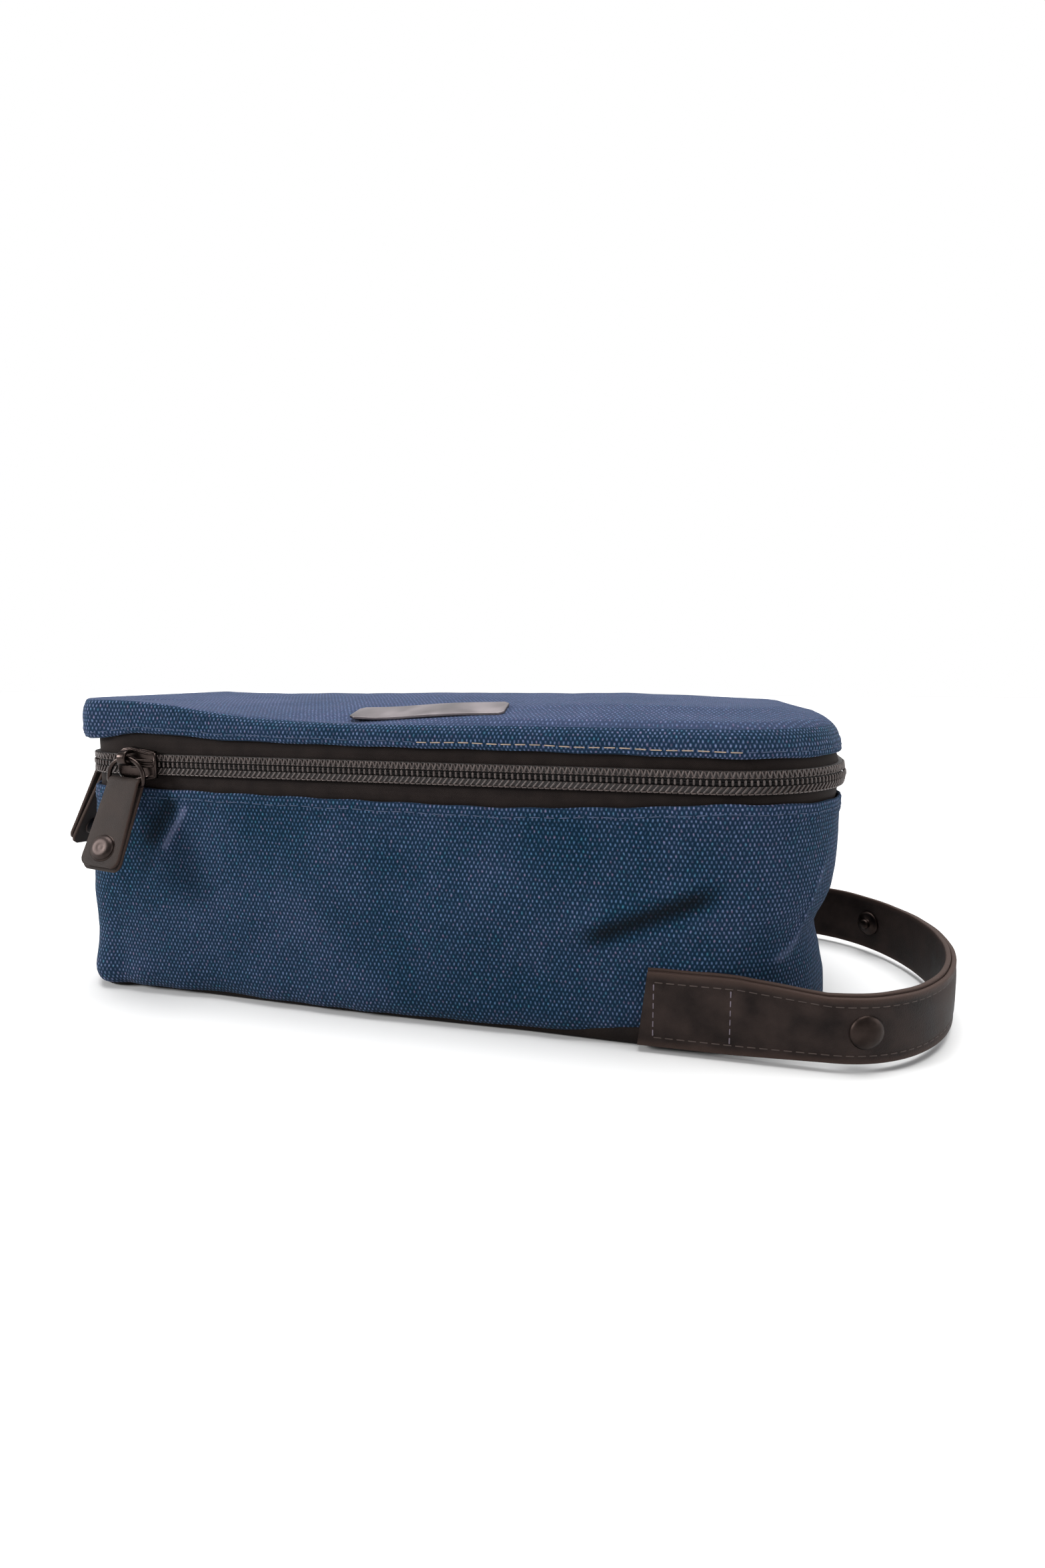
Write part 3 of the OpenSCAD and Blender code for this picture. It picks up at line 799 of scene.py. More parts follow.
def crown_height(s, d, x):
    """Height of the lid's top at inset d for stations s. x is each point's own x."""
    e = edge_height(s)
    near = round_the_bag(s, [-438, -290, -245, -215, -130, -103, -90, -73,
                             -60, -40, -24, 0, 25, 60, 110, 150, 249],
                         [97.2, 97.2, 98.8, 101.2, 101.4, 101.1, 100.3, 98.2,
                          96.9, 95.5, 94.7, 95.7, 96.9, 97.0, 96.8, 96.9, 97.2])
    mid = round_the_bag(s, [-438, -250, -130, -100, -60, -24, 0, 25, 60, 110, 150, 249],
                        [100.8, 100.8, 101.2, 100.7, 99.4, 97.9, 98.9, 100.2, 100.6, 100.0, 100.3, 100.8])
    middle = np.interp(x, [-127, -110, -56, 0, 57, 101, 115],
                       [100.0, 100.2, 101.4, 102.9, 103.0, 101.2, 99.9])
    t = np.clip((d - SHOULDER) / (MIDDLE - SHOULDER), 0, 1)
    slope = np.clip((d - RIM) / (SHOULDER - RIM), 0, 1)
    z = np.where(d < RIM, e + (near - e) * d / RIM, near + (mid - near) * slope)
    return np.where(d > SHOULDER, mid + (middle - mid) * (1 - (1 - t) ** 1.7), z)


def build_lid_canvas():
    s = stations(0, AROUND, STEP)[:-1]
    p, n = outline(s)
    hem = hem_up(s)
    e, crisp = edge_height(s), crispness(s)
    reach = RIM - 2.9 * crisp
    low = e - 3.2 + 2.0 * crisp
    zeros = np.zeros(len(s))
    rows = []

    def add(out, z, v, top=0.0, wear=0.0, t=0.0):
        xy = collapse((p, n), 0, t) + n * np.asarray(zeros + out)[:, None] * (1 - t)
        cloth = np.stack([cloth_u(s), zeros + v, zeros + top], 1)
        rows.append((xy, zeros + z, {"cloth": cloth, "wear": zeros + wear}))

    for t in (1.0, 0.66, 0.33, 0.0):
        add(-CLOTH_T - 0.1, CEILING + 0.95, 70, t=t)
    for z in (CEILING + zeros, hem + 1.2):
        add(lid_out(s, z) - CLOTH_T - 0.1, z, 70)
    for angle in (205, 235, 270, 305, 335):
        a = math.radians(angle)
        r = CLOTH_T / 2 + 0.05
        add(lid_out(s, hem) - r + r * math.cos(a), hem + r + r * math.sin(a), hem, wear=0.3)
    for share in np.linspace(0, 1, 9):
        z = hem + CLOTH_T / 2 + share * (low - hem - CLOTH_T / 2)
        add(lid_band_surface(s, z), z, z, wear=0.34 + 0.25 * np.exp(-(z - hem) / 1.0))
    rim = lid_out(s, e)
    z_end = crown_height(s, reach, p[:, 0])
    for t in np.linspace(0, 1, 10)[1:]:
        d = t * t * reach
        z = (1 - t) ** 2 * low + 2 * t * (1 - t) * (e + 0.3 + 0.35 * crisp) + t * t * z_end
        bead = 0.35 * crisp * math.exp(-((t - 0.5) / 0.3) ** 2)
        base = lid_band_surface(s, low) * (1 - t) ** 2 + rim * (1 - (1 - t) ** 2)
        add(base - d, z, z + d, top=float(t > 0.6), wear=bead + 0.3 * t)
    for share in np.linspace(0, 1, 12)[1:]:
        d = reach + share * (SHOULDER - reach)
        out = rim * (1 - share) - d
        xy = p + n * out[:, None]
        add(out, lid_top(xy, d, s), e + d, top=1.0, wear=0.3)
    inner = collapse((p, n), SHOULDER, 0)
    for t in np.linspace(0, 1, 17)[1:]:
        xy = collapse((p, n), SHOULDER, t)
        d = SHOULDER + np.linalg.norm(xy - inner, axis=1)
        if t == 1:
            d = zeros + MIDDLE
        cloth = np.stack([cloth_u(s), zeros + 160, zeros + 1], 1)
        rows.append((xy, lid_top(xy, d, s), {"cloth": cloth, "wear": zeros + 0.3}))
    obj = rows_object("lid_canvas", rows, canvas)
    fix_to(obj, "lid", "canvas", "lid_band", "lid_top_panel", "lid_padding", "lid_board")


PLATE_AT = np.array([0.0, -46.4, 98.45])
PLATE_PITCH, PLATE_ROLL, PLATE_YAW = math.radians(13.4), math.radians(2.93), math.radians(3.8)


def lid_top(xy, d, s):
    """Height of the lid's top with its slackness. It lies flat where the nameplate sits on it."""
    points = np.column_stack([xy, np.zeros(len(xy))])
    z = crown_height(s, d, xy[:, 0])
    z = z + smooth(2, 12, d) * (0.4 * ripple(points, 60, 21) + 0.14 * ripple(points, 16, 22))
    seat = (PLATE_AT[2] - 0.62 + math.tan(PLATE_ROLL) * xy[:, 0]
            + math.tan(PLATE_PITCH) * (xy[:, 1] - PLATE_AT[1]))
    weight = np.clip(2.2 * bump(xy[:, 0], 0, 36) * bump(xy[:, 1], PLATE_AT[1], 13), 0, 1)
    return z + weight * (seat - z)


def build_lining():
    """The body's lining as one cup, and the lid's lining as a thin pad face."""
    s = stations(0, AROUND, STEP * 2)[:-1]
    p, n = outline(s)
    zeros = np.zeros(len(s))
    rows = []
    top = box_mm("body_lining")[1][2] + 1.6
    floor = box_mm("body_lining")[0][2]

    def add(out, z, t=0.0):
        xy = collapse((p, n), 0, t) + n * np.asarray(zeros + out)[:, None] * (1 - t)
        cloth = np.stack([cloth_u(s) if t == 0 else xy[:, 0], zeros + (z if t == 0 else xy[:, 1]), zeros], 1)
        rows.append((xy, zeros + z, {"cloth": cloth}))

    def slack(z):
        points = np.column_stack([p, zeros + z])
        return wall_out(s, zeros + z) + 0.35 * ripple(points, 30, 31)

    def tucked(z):
        return 3.5 * (1 - np.sqrt(1 - np.clip(1 - (z - 4) / 7, 0, 1) ** 2))

    for t in (1.0, 0.5, 0.0):
        add(-6, BASE_T + 1.7, t=t)
    for z in np.linspace(5, top - 0.4, 12):
        add(slack(z) - 1.75 - tucked(z), z)
    add(slack(top) - 2.0, top)
    for z in np.linspace(top - 0.4, 8.5, 24):
        add(slack(z) - 2.45 - tucked(z), z)
    add(slack(6.5) - 5.0, 6.4)
    add(-8, 5.2)
    for t in np.linspace(0.1, 1, 12):
        xy = collapse((p, n), 8, t)
        z = 5.0 + 0.35 * ripple(np.column_stack([xy, zeros]), 45, 33)
        cloth = np.stack([xy[:, 0], xy[:, 1], zeros], 1)
        rows.append((xy, z, {"cloth": cloth}))
    obj = rows_object("body_lining_cup", rows, lining)
    fix_to(obj, "bag_body", "lining", "body_lining")
    rows = []
    for t in (1.0, 0.5, 0.0):
        add(-1.5, CEILING + 0.8, t=t)
    add(-1.5, CEILING + 0.1)
    for t in np.linspace(0, 1, 14):
        xy = collapse((p, n), 2.2, t)
        d = np.linalg.norm(xy - collapse((p, n), 2.2, 0), axis=1)
        uneven = ripple(np.column_stack([xy, zeros]), 34, 35)
        z = CEILING - 0.1 - 0.9 * smooth(2, 25, d) - 0.3 * smooth(2, 9, d) * uneven
        cloth = np.stack([xy[:, 0], xy[:, 1], zeros], 1)
        rows.append((xy, z, {"cloth": cloth}))
    obj = rows_object("lid_lining_face", rows, lining)
    fix_to(obj, "lid", "lining", "lid_lining")


def build_base():
    """The leather base: a tray with a soft edge that shows where the canvas rides up."""
    s = stations(0, AROUND, STEP * 1.5)[:-1]
    p, n = outline(s)
    zeros = np.zeros(len(s))
    shows = leather_shows(s)
    rows = []

    def add(out, z, t=0.0):
        xy = collapse((p, n), 0, t) + n * np.asarray(zeros + out)[:, None] * (1 - t)
        cloth = np.stack([xy[:, 0] + xy[:, 1], zeros + z + xy[:, 1], zeros], 1)
        rows.append((xy, zeros + z, {"cloth": cloth, "edge": zeros}))

    body = wall_out(s, zeros + 3)
    tuck = -3.9 + 2.4 * shows
    for t in (1.0, 0.66, 0.33, 0.0):
        add(body + tuck - 4, 0.05, t)
    add(body + tuck - 1.6, 0.0)
    add(body + tuck - 0.5, 0.35)
    add(body + tuck, 1.3)
    add(body + tuck + 0.25 * shows, 2.6)
    add(body + tuck + 0.5 * shows, 3.2 + 2.6 * shows)
    add(body + tuck - 1.0, 3.6 + 2.6 * shows)
    for t in (0.0, 0.33, 0.66, 1.0):
        add(-7.5, 2.3, t)
    obj = rows_object("leather_base", rows, base_leather)
    fix_to(obj, "bag_body", "base_leather", "base_panel")


def build_board():
    """The stiff board that lies on the base, inside the walls."""
    s = stations(0, AROUND, STEP * 1.5)[:-1]
    p, n = outline(s)
    zeros = np.zeros(len(s))
    edge = wall_out(s, zeros + 3) - 7.2
    rows = []
    for z, t in ((2.45, 1.0), (2.45, 0.5), (2.45, 0.0), (3.85, 0.0), (3.85, 0.5), (3.85, 1.0)):
        xy = collapse((p, n), 0, t) + n * edge[:, None] * (1 - t)
        rows.append((xy, zeros + z, {"cloth": np.stack([xy[:, 0], xy[:, 1], zeros], 1)}))
    obj = rows_object("stiff_board", rows, board)
    fix_to(obj, "bag_body", "board", "base_board")


# ---------------------------------------------------------------- the zip


def zip_strip(name, z_low, z_high, depth, thickness, material, body, slot_name, replaced, s0=0.0, s1=ZIP_END):
    """A thin strip along the zip's path, `depth` behind the wall, with painted shade beside the hem and below
    the coil.
    """
    s = stations(s0, s1, STEP * 1.5)
    z_levels = np.linspace(z_low, z_high, max(2, int((z_high - z_low) / 0.9)))
    loop = np.concatenate([z_levels, z_levels[::-1]])
    inward = np.concatenate([np.full(len(z_levels), depth), np.full(len(z_levels), depth + thickness)])
    z = np.repeat(loop[:, None], len(s), 1)
    flat_s = np.broadcast_to(s, z.shape).ravel()
    out = wall_out(flat_s, z.ravel()).reshape(z.shape) - inward[:, None]
    u = np.broadcast_to(cloth_u(s), z.shape)
    cloth = np.stack([u, z, np.zeros_like(z)], -1)
    # Painted shade: the tape darkens towards the lid's hem and below the coil.
    under_hem = np.exp(-np.clip(hem_up(s)[None] - z, 0, 9) / 0.9)
    under_coil = np.exp(-np.clip(ZIP_Z - 3.7 - z, 0, 9) / 0.8) * (z < ZIP_Z)
    extra = {"cloth": cloth, "grime": np.maximum(under_hem, under_coil)}
    fix_to(band(name, s, out, z, extra, material, False), body, slot_name, *replaced)


def on_zip(s, z, out):
    """World points at places s along the zip, heights z, and distances out from the wall there."""
    s, z, out = (np.asarray(v, float) for v in np.broadcast_arrays(s, z, out))
    p, n = outline(s)
    w = wall_out(s, z) + out
    return np.column_stack([p + n * w[:, None], z])


TOOTH = 1.76                                           # pitch of the coil


def build_coil(side, body, node):
    """One row of the coil. side is -1 for the lower row and 1 for the upper: upright heads that
    mesh on the centre line, and slanted turns that lie on the tape."""
    end = ZIP_END - 6
    s = np.arange(4, end, TOOTH)
    heads = s[::2] if side < 0 else s[1::2]
    parts = [(heads, ZIP_Z - 0.52, heads, ZIP_Z + 0.52, 0.3, 0.38)]
    if side > 0:
        parts += [(s - 0.62, ZIP_Z + 3.05, s - 0.06, ZIP_Z + 1.5, 0.12, 0.33),
                  (s + 0.62, ZIP_Z + 2.95, s + 0.12, ZIP_Z + 1.7, 0.12, 0.3),
                  (s - 0.5, ZIP_Z + 1.42, s + 0.45, ZIP_Z + 1.3, 0.0, 0.27)]
    else:
        parts += [(s - 0.66, ZIP_Z - 1.3, s + 0.16, ZIP_Z - 2.3, 0.12, 0.31),
                  (s - 0.1, ZIP_Z - 2.0, s + 0.72, ZIP_Z - 2.95, 0.1, 0.31),
                  (s - 0.6, ZIP_Z - 3.2, s + 0.5, ZIP_Z - 3.25, 0.05, 0.26)]
    starts = np.concatenate([on_zip(a, z0, out) for a, z0, b, z1, out, r in parts])
    ends = np.concatenate([on_zip(b, z1, out) for a, z0, b, z1, out, r in parts])
    radii = np.concatenate([np.full(len(a), r) for a, z0, b, z1, out, r in parts])
    obj = capsules(node + "_teeth", starts, ends, radii, coil, sides=6)
    fix_to(obj, body, "zip_coil", node)
    # The first strip is a near-black sheet of painted shade behind the coil's heads; the second is the cord
    # that the turns lie on.
    for part, near, far, depth, thickness, material in (("_shade_strip", 0.12, 1.1, 1.25, 0.4, void),
                                                        ("_cord", 1.15, 3.35, 0.12, 1.3, cord)):
        low, high = sorted((ZIP_Z + side * near, ZIP_Z + side * far))
        zip_strip(node + part, low, high, depth, thickness, material, body, "zip_coil", (), 4, end)


def build_zip():
    low = box_mm("lower_zip_tape")[0][2]
    zip_strip("lower_tape", low, ZIP_Z - 0.55, 1.35, 0.7, tape, "bag_body",
              "zip_tape", ["lower_zip_tape"])
    zip_strip("upper_tape", ZIP_Z + 0.55, CEILING, 1.35, 0.7, tape, "lid",
              "zip_tape", ["upper_zip_tape"])
    build_coil(-1, "bag_body", "lower_zip_coil")
    build_coil(1, "lid", "upper_zip_coil")


# ---------------------------------------------------------------- the hinge at the back

HINGE_AT = joint_mm("lid_hinge")


def hinge_sheet(name, z0, z1, y_in, y_out, material, replaced):
    """An upright strip across the back, with closer rows about the hinge line."""
    x0, x1 = STRAIGHT_L + 0.5, STRAIGHT_R - 0.5
    xs = np.linspace(x0, x1, int((x1 - x0) / 3))
    pivot = HINGE_AT[2]
    zs = np.concatenate([np.linspace(z0, pivot - 3, 8), np.linspace(pivot - 2.4, pivot + 2.4, 9),
                         np.linspace(pivot + 3, z1, 7)])
    loop_z = np.concatenate([zs, zs[::-1]])
    edge = np.minimum(np.abs(zs - z0), np.abs(zs - z1))
    thin = 0.25 * (1 - smooth(0, 0.8, edge))
    loop_y = np.concatenate([y_out - thin, np.full(len(zs), y_in)])
    X, K = np.meshgrid(xs, np.arange(len(loop_z)))
    verts = np.stack([X, loop_y[K], loop_z[K]], -1).reshape(-1, 3)
    wave = 0.12 * np.sin(verts[:, 0] * 0.21) * (verts[:, 1] > y_in + 0.1)
    verts[:, 1] += wave
    faces = [tuple(f) for f in grid(len(loop_z), len(xs), wrap_rows=True)]
    faces.append(tuple(range(0, len(verts), len(xs))))
    faces.append(tuple(reversed(range(len(xs) - 1, len(verts), len(xs)))))
    obj = new_object(name, verts, faces, material)
    fix_normals(obj)
    attribute(obj, "cloth", np.column_stack([verts[:, 0], verts[:, 2], np.zeros(len(verts))]))
    sharpen(obj, 55)
    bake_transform(obj)
    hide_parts(*replaced)


def thread_row(name, starts, ends, material, body=None, bend=None, radius=0.24):
    obj = capsules(name, starts, ends, radius, material, sides=5)
    obj.data.shade_smooth()
    if bend:
        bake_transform(obj)
    else:
        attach(obj, body)


def build_hinge():
    y = HALF_D
    hinge_sheet("hinge_canvas", HEM_LOW - 3.4, HEM_UP + 3.2, y + 0.45, y + 1.35, canvas, [])
    hinge_sheet("hinge_lining", HEM_LOW - 7, CEILING, y - 2.1, y - 1.4,
                lining, ["body_hinge_strip", "lid_hinge_strip"])
    xs = np.arange(STRAIGHT_L + 3, STRAIGHT_R - 4, 3.1)
    for name, z, body in (("hinge_stitches_low", HEM_LOW - 1.6, "bag_body"),
                          ("hinge_stitches_up", HEM_UP + 1.5, "lid")):
        a = np.column_stack([xs, np.full(len(xs), y + 1.42), np.full(len(xs), z)])
        thread_row(name, a, a + [2.1, 0, 0], navy_thread, body)


def build_zip_end_tabs():
    lo, hi = box_mm("zip_end_tabs")
    for i, x in enumerate((STRAIGHT_L, STRAIGHT_R - 12)):
        shape = rounded_rectangle(12.5, hi[2] - lo[2] - 0.8, 1.6)
        tab = plate(f"zip_end_tab_{i}", shape, 1.3, 0.35, strap_leather)
        place(tab, (x + 6, HALF_D + 1.45, (lo[2] + hi[2]) / 2 - 0.4), (-1, 0, 0), (0, 0, 1), (0, 1, 0))
        plate_coordinates(tab)
        fix_to(tab, "bag_body", "base_leather", "zip_end_tabs")
        xs = np.arange(x + 1.6, x + 10.2, 2.8)
        for row, z in enumerate((lo[2] + 1.6, hi[2] - 2.4)):
            a = np.column_stack([xs, np.full(len(xs), HALF_D + 2.8), np.full(len(xs), z)])
            thread_row(f"zip_end_stitches_{i}_{row}", a, a + [1.9, 0, 0], dark_thread,
                       "bag_body")


def plate_coordinates(obj):
    """Leather grain coordinates from the mesh's own place."""
    co = np.array([v.co for v in obj.data.vertices]) / MM
    attribute(obj, "cloth", co[:, [0, 2, 1]])
    attribute(obj, "edge", np.zeros(len(co)))


def build_hem_stitches():
    """Stitches along both hems: pale on the front of the lid, navy elsewhere."""
    rows = (("body", -2.9, hem_low, body_surface, "bag_body", navy_thread, (-30, 94)),
            ("lid", 2.0, hem_up, lid_band_surface, "lid", pale_thread, (1, 97)))
    for name, offset, hem, surface, body, thread, (x_from, x_to) in rows:
        s = np.arange(8, ZIP_END - 8, 4.4)
        ends = []
        for at in (s, s + 2.9):
            z = hem(at) + offset
            ends.append(np.column_stack([outline_xy(at, surface(at, z) + 0.02), z]))
        x = cloth_u(s)
        front = (x > x_from) & (x < x_to)
        for part, m, colour, radius in (("front", front, thread, 0.2), ("round", ~front, navy_thread, 0.16)):
            thread_row(f"{name}_hem_stitches_{part}", ends[0][m], ends[1][m], colour, body,
                       radius=radius)


def outline_xy(s, out):
    p, n = outline(s)
    return p + n * np.asarray(out)[:, None]


def lid_band_surface(s, z):
    """Outer face of the lid's band, with its folded hem and a little fullness above it."""
    hem, e = hem_up(s), edge_height(s)
    fullness = 0.5 * np.sin(math.pi * np.clip((z - hem) / (e - hem), 0, 1))
    return lid_out(s, z) + 0.3 * smooth(4.6, 3.8, z - hem) + fullness


# ---------------------------------------------------------------- nameplate


def build_nameplate():
    """Plain antiqued plate with clipped corners, a little bent from use and with no lettering."""
    w, h, c, t = 50.0, 12.4, 1.7, 0.9
    shape = [(c, 0), (w - c, 0), (w, c), (w, h - c), (w - c, h), (c, h), (0, h - c), (0, c)]
    obj = plate("nameplate_plate", [(x - w / 2, y - h / 2) for x, y in shape], t, 0.22, plate_metal)
    bm = bmesh.new()
    bm.from_mesh(obj.data)
    for x in np.arange(-24, 25, 2.0):
        bmesh.ops.bisect_plane(bm, geom=bm.verts[:] + bm.edges[:] + bm.faces[:], plane_co=(x * MM, 0, 0),
                               plane_no=(1, 0, 0))
    for vert in bm.verts:
        x, y = vert.co.x / MM, vert.co.y / MM
        lift = 0.2 * math.sin(x * 0.16 + 0.6) + 0.5 * float(bump(math.hypot(x + 24, y + 6), 0, 9))
        vert.co.z += MM * (lift - 0.45)
    bm.to_mesh(obj.data)
    bm.free()
    obj.data.shade_smooth()
    sharpen(obj, 40)
    right = np.array([math.cos(PLATE_YAW), math.sin(PLATE_YAW), math.tan(PLATE_ROLL)])
    back = np.array([-math.sin(PLATE_YAW), math.cos(PLATE_YAW), math.tan(PLATE_PITCH)])
    right /= np.linalg.norm(right)
    back -= right * (back @ right)
    back /= np.linalg.norm(back)
    place(obj, PLATE_AT, right, back, np.cross(right, back))
    fix_to(obj, "lid", "nameplate_metal", "nameplate")


# ---------------------------------------------------------------- sliders, rings and tabs
# Drawn in a slider's own frame: X along its travel, Y up, Z outwards from the bag.

PLATE_OUT = 2.3
RING_OUT = 4.4
BRIDGE_X, BRIDGE_UP = -2.4, 2.4
RING_R, RING_LEG = 6.6, 1.8
WIRE = 0.75
TAB_OUT = math.radians(24)                             # how far the tab stands out at rest


class Pull:
    """Where one slider sits, and the names of its bodies."""

    def __init__(self, name, origin, travel, out, lean):
        self.name, self.origin, self.lean = name, np.array(origin, float), math.radians(lean)
        self.axes = (np.array(travel, float), np.array([0, 0, 1.0]), np.array(out, float))

    def put(self, obj, body, slot_name, replaced=()):
        place(obj, self.origin, *self.axes)
        fix_to(obj, f"{self.name}_{body}", slot_name, *[f"{self.name}_{node}" for node in replaced])

    def leaned(self, points):
        """Points or directions turned sideways by the pull's lean."""
        points = np.asarray(points, float)
        c, s = math.cos(self.lean), math.sin(self.lean)
        return np.column_stack([points[:, 0] * c + points[:, 1] * s, points[:, 1] * c - points[:, 0] * s,
                                points[:, 2]])

    def on_ring(self, points):
        """Points drawn about the centre of the ring's arc, put on the ring."""
        return self.leaned(points) + [BRIDGE_X, BRIDGE_UP - RING_R, RING_OUT]

    def on_bar(self, points):
        """Points drawn about the ring's bar for a tab that hangs straight, put on the tab as it rests."""
        return self.on_ring(swung_out(points) - [0, RING_LEG, 0])


def swung_out(points):
    """Points or directions turned outwards by the angle at which a tab rests."""
    points = np.asarray(points, float)
    c, s = math.cos(TAB_OUT), math.sin(TAB_OUT)
    return np.column_stack([points[:, 0], points[:, 1] * c + points[:, 2] * s,
                            points[:, 2] * c - points[:, 1] * s])


def slider_shape(scale=1.0):
    """Outline of a slider's plate: broad shoulders at the nose, narrower at the tail."""
    half = [(-7.25, 1.8), (-6.7, 4.0), (-4.8, 5.5), (-1.8, 5.9),
            (1.2, 5.2), (4.4, 4.5), (6.9, 4.35), (7.25, 3.8)]
    points = half + [(x, -y) for x, y in reversed(half)]
    return [(x * scale, y * scale) for x, y in points]


def build_slider(pull):
    """Two plates joined by a web, with lips, an arch for the ring, a mouth bar, rails and raised rims."""

    def put(obj, nodes=()):
        pull.put(obj, "slider", "slider_metal", nodes)

    def bar(part, path, section):
        put(sweep(f"{pull.name}_slider_{part}", path, (0, 0, 1), section, black_nickel))

    def flat(part, shape, thickness, bevel, at, nodes=()):
        obj = plate(f"{pull.name}_slider_{part}", shape, thickness, bevel, black_nickel)
        obj.data.transform(Matrix.Translation(Vector(at) * MM))
        put(obj, nodes)

    flat("plate", slider_shape(), 1.25, 0.4, (0, 0, PLATE_OUT - 1.25), ["slider_body"])
    flat("inner_plate", slider_shape(0.88), 0.9, 0.3, (0, 0, -4.1))
    for word, side in (("low", -1), ("up", 1)):
        path = [(x, side * y, 0.9) for x, y in ((-5.2, 4.9), (-1.8, 5.5), (1.2, 4.9), (6.4, 4.1))]
        bar("lip_" + word, path, rounded_rectangle(0.9, 1.9, 0.4))
    bar("mouth", [(7.0, -4.0, 1.8), (7.05, 0, 1.95), (7.0, 4.0, 1.8)], ring_section(0.5, 10))
    flat("web", rounded_rectangle(4.5, 0.6, 0.2), 4.4, 0.05, (-4.0, 0, -3.3))
    turns = np.radians(np.linspace(-90, 90, 15))
    arc = [(BRIDGE_X, BRIDGE_UP + 1.95 * math.sin(a), RING_OUT + 1.95 * math.cos(a)) for a in turns]
    feet = [(BRIDGE_X, BRIDGE_UP + side * 2.05, PLATE_OUT - 0.4) for side in (-1, 1)]
    arch = sweep(pull.name + "_slider_arch", feet[:1] + arc + feet[1:], (1, 0, 0),
                 rounded_rectangle(1.15, 3.0, 0.4), black_nickel)
    put(arch, ["slider_bridge"])
    rail_path = [(-0.7, 3.6), (1.4, 3.4), (3.6, 3.0), (5.4, 2.5), (6.4, 2.1)]
    for number, height in enumerate((1.75, 0.7, -0.35)):
        path = [(x, height * (1 - 0.04 * x), z - 0.25 * (number == 1)) for x, z in rail_path]
        bar(f"rail_{number}", path, ring_section(0.5, 10))
    rim = [(-6.3, 3.2, 2.2), (-4.7, 4.7, 2.35), (-1.8, 5.2, 2.35),
           (1.2, 4.5, 2.35), (4.4, 3.75, 2.3), (6.6, 3.6, 2.2)]
    for word, side in (("low", -1), ("up", 1)):
        bar("shoulder_" + word, [(x, side * y, z) for x, y, z in rim], ring_section(0.42, 8))


def build_ring(pull):
    turns = np.radians(np.linspace(0, 180, 29))
    arc = np.column_stack([RING_R * np.cos(turns), RING_R * np.sin(turns), np.zeros(29)])
    corner = [(x - RING_R, y, 0) for x, y in ((0, -0.6), (0, -1.2), (0.25, -1.6), (0.7, -RING_LEG))]
    bar = [(x, -RING_LEG, 0) for x in np.linspace(1.2 - RING_R, RING_R - 1.2, 12)]
    loop = np.concatenate([arc, corner, bar, [(-x, y, z) for x, y, z in reversed(corner)]])
    obj = sweep_ring(pull.name + "_ring_wire", pull.on_ring(loop), WIRE, black_nickel)
    pull.put(obj, "ring", "slider_metal", ["pull_ring"])


def sweep_ring(name, loop, radius, material, sides=12):
    """A closed wire through a loop of points that lie in one plane facing Z."""
    ahead, behind = np.roll(loop, -1, 0), np.roll(loop, 1, 0)
    up = np.array([0, 0, 1.0])
    side = np.cross(unit(ahead - behind), up)
    section = ring_section(radius, sides)
    verts = (loop[:, None] + side[:, None] * section[None, :, :1] + up * section[None, :, 1:]).reshape(-1, 3)
    obj = new_object(name, verts, grid(len(loop), sides, wrap_rows=True, wrap_cols=True).tolist(), material)
    fix_normals(obj)
    return obj


TAB_L, TAB_TOP, TAB_LOW = 28.5, 11.2, 14.2
PLY = 1.2
TAB_FACE = 0.8 + PLY / 2                               # the tab's outer face, from its middle
RIVET_UP = 6.2


def build_tab(pull):
    """A leather strip folded round the ring's bar: two layers with a groove between them."""
    fold, gap = 1.42, 1.12
    inner_end = TAB_L + 1.0
    down = np.array([0, 2.5, 5, 8, 12, 16, 20, 23.2, 25.1, 26.3, 27.3, 27.9, 28.35])
    apart = np.interp(down, [0, 3, 9, 16, 21, 28], [fold, fold - 0.1, gap, 0.95, 0.8, 0.78])
    outer = np.column_stack([np.zeros(len(down)), -down, apart])
    turn = np.radians(np.linspace(0, 180, 13)[1:-1])
    fold_arc = np.column_stack([np.zeros(11), fold * np.sin(turn), fold * np.cos(turn)])
    inner = np.column_stack([np.zeros(len(down)), -down * inner_end / TAB_L, -apart])
    path = np.concatenate([inner[::-1], fold_arc[::-1], outer])
    depth = np.maximum(-path[:, 1], 0)
    width = TAB_TOP + (TAB_LOW - TAB_TOP) * np.clip(depth / TAB_L, 0, 1)
    ends = np.where(path[:, 2] < 0, inner_end, TAB_L) - depth
    r = 3.2                                            # radius of the tab's lower corners
    chord = np.sqrt(np.clip(r * r - (r - np.clip(ends, 0, r)) ** 2, 0, None))
    cut = np.where((ends < r) & (depth > 10), r - chord, 0)
    half_t = PLY / 2
    obj = sweep_strip(pull.name + "_tab_leather", path, width - 2 * cut, half_t, tab_leather, pull)
    pull.put(obj, "tab", "tab_leather", ["pull_tab"])
    cap = [(0, 1.15), (0.6, 1.02), (1.3, 1.08), (2.3, 1.2), (3.1, 1.0),
           (3.7, 0.6), (3.95, 0.2), (3.95, -0.1), (0, -0.1)]
    rivet = lathe(pull.name + "_rivet_head", cap, tab_rivet_metal)
    at_rivet(rivet, pull, TAB_FACE, 1)
    pull.put(rivet, "tab", "snap_metal", ["rivet_cap"])
    cap = [(0, 0.5), (1.6, 0.5), (2.8, 0.4), (3.4, 0.15), (3.4, -0.1), (0, -0.1)]
    rivet = lathe(pull.name + "_rivet_foot", cap, tab_rivet_metal, 28)
    at_rivet(rivet, pull, -TAB_FACE, -1)
    pull.put(rivet, "tab", "snap_metal", ["rivet_back"])
    collar = lathe(pull.name + "_rivet_rim", [(0, 0.28), (4.2, 0.26), (4.45, 0.05), (4.45, -0.1), (0, -0.1)],
                   black_nickel)
    at_rivet(collar, pull, TAB_FACE, 1)
    pull.put(collar, "tab", "snap_metal")


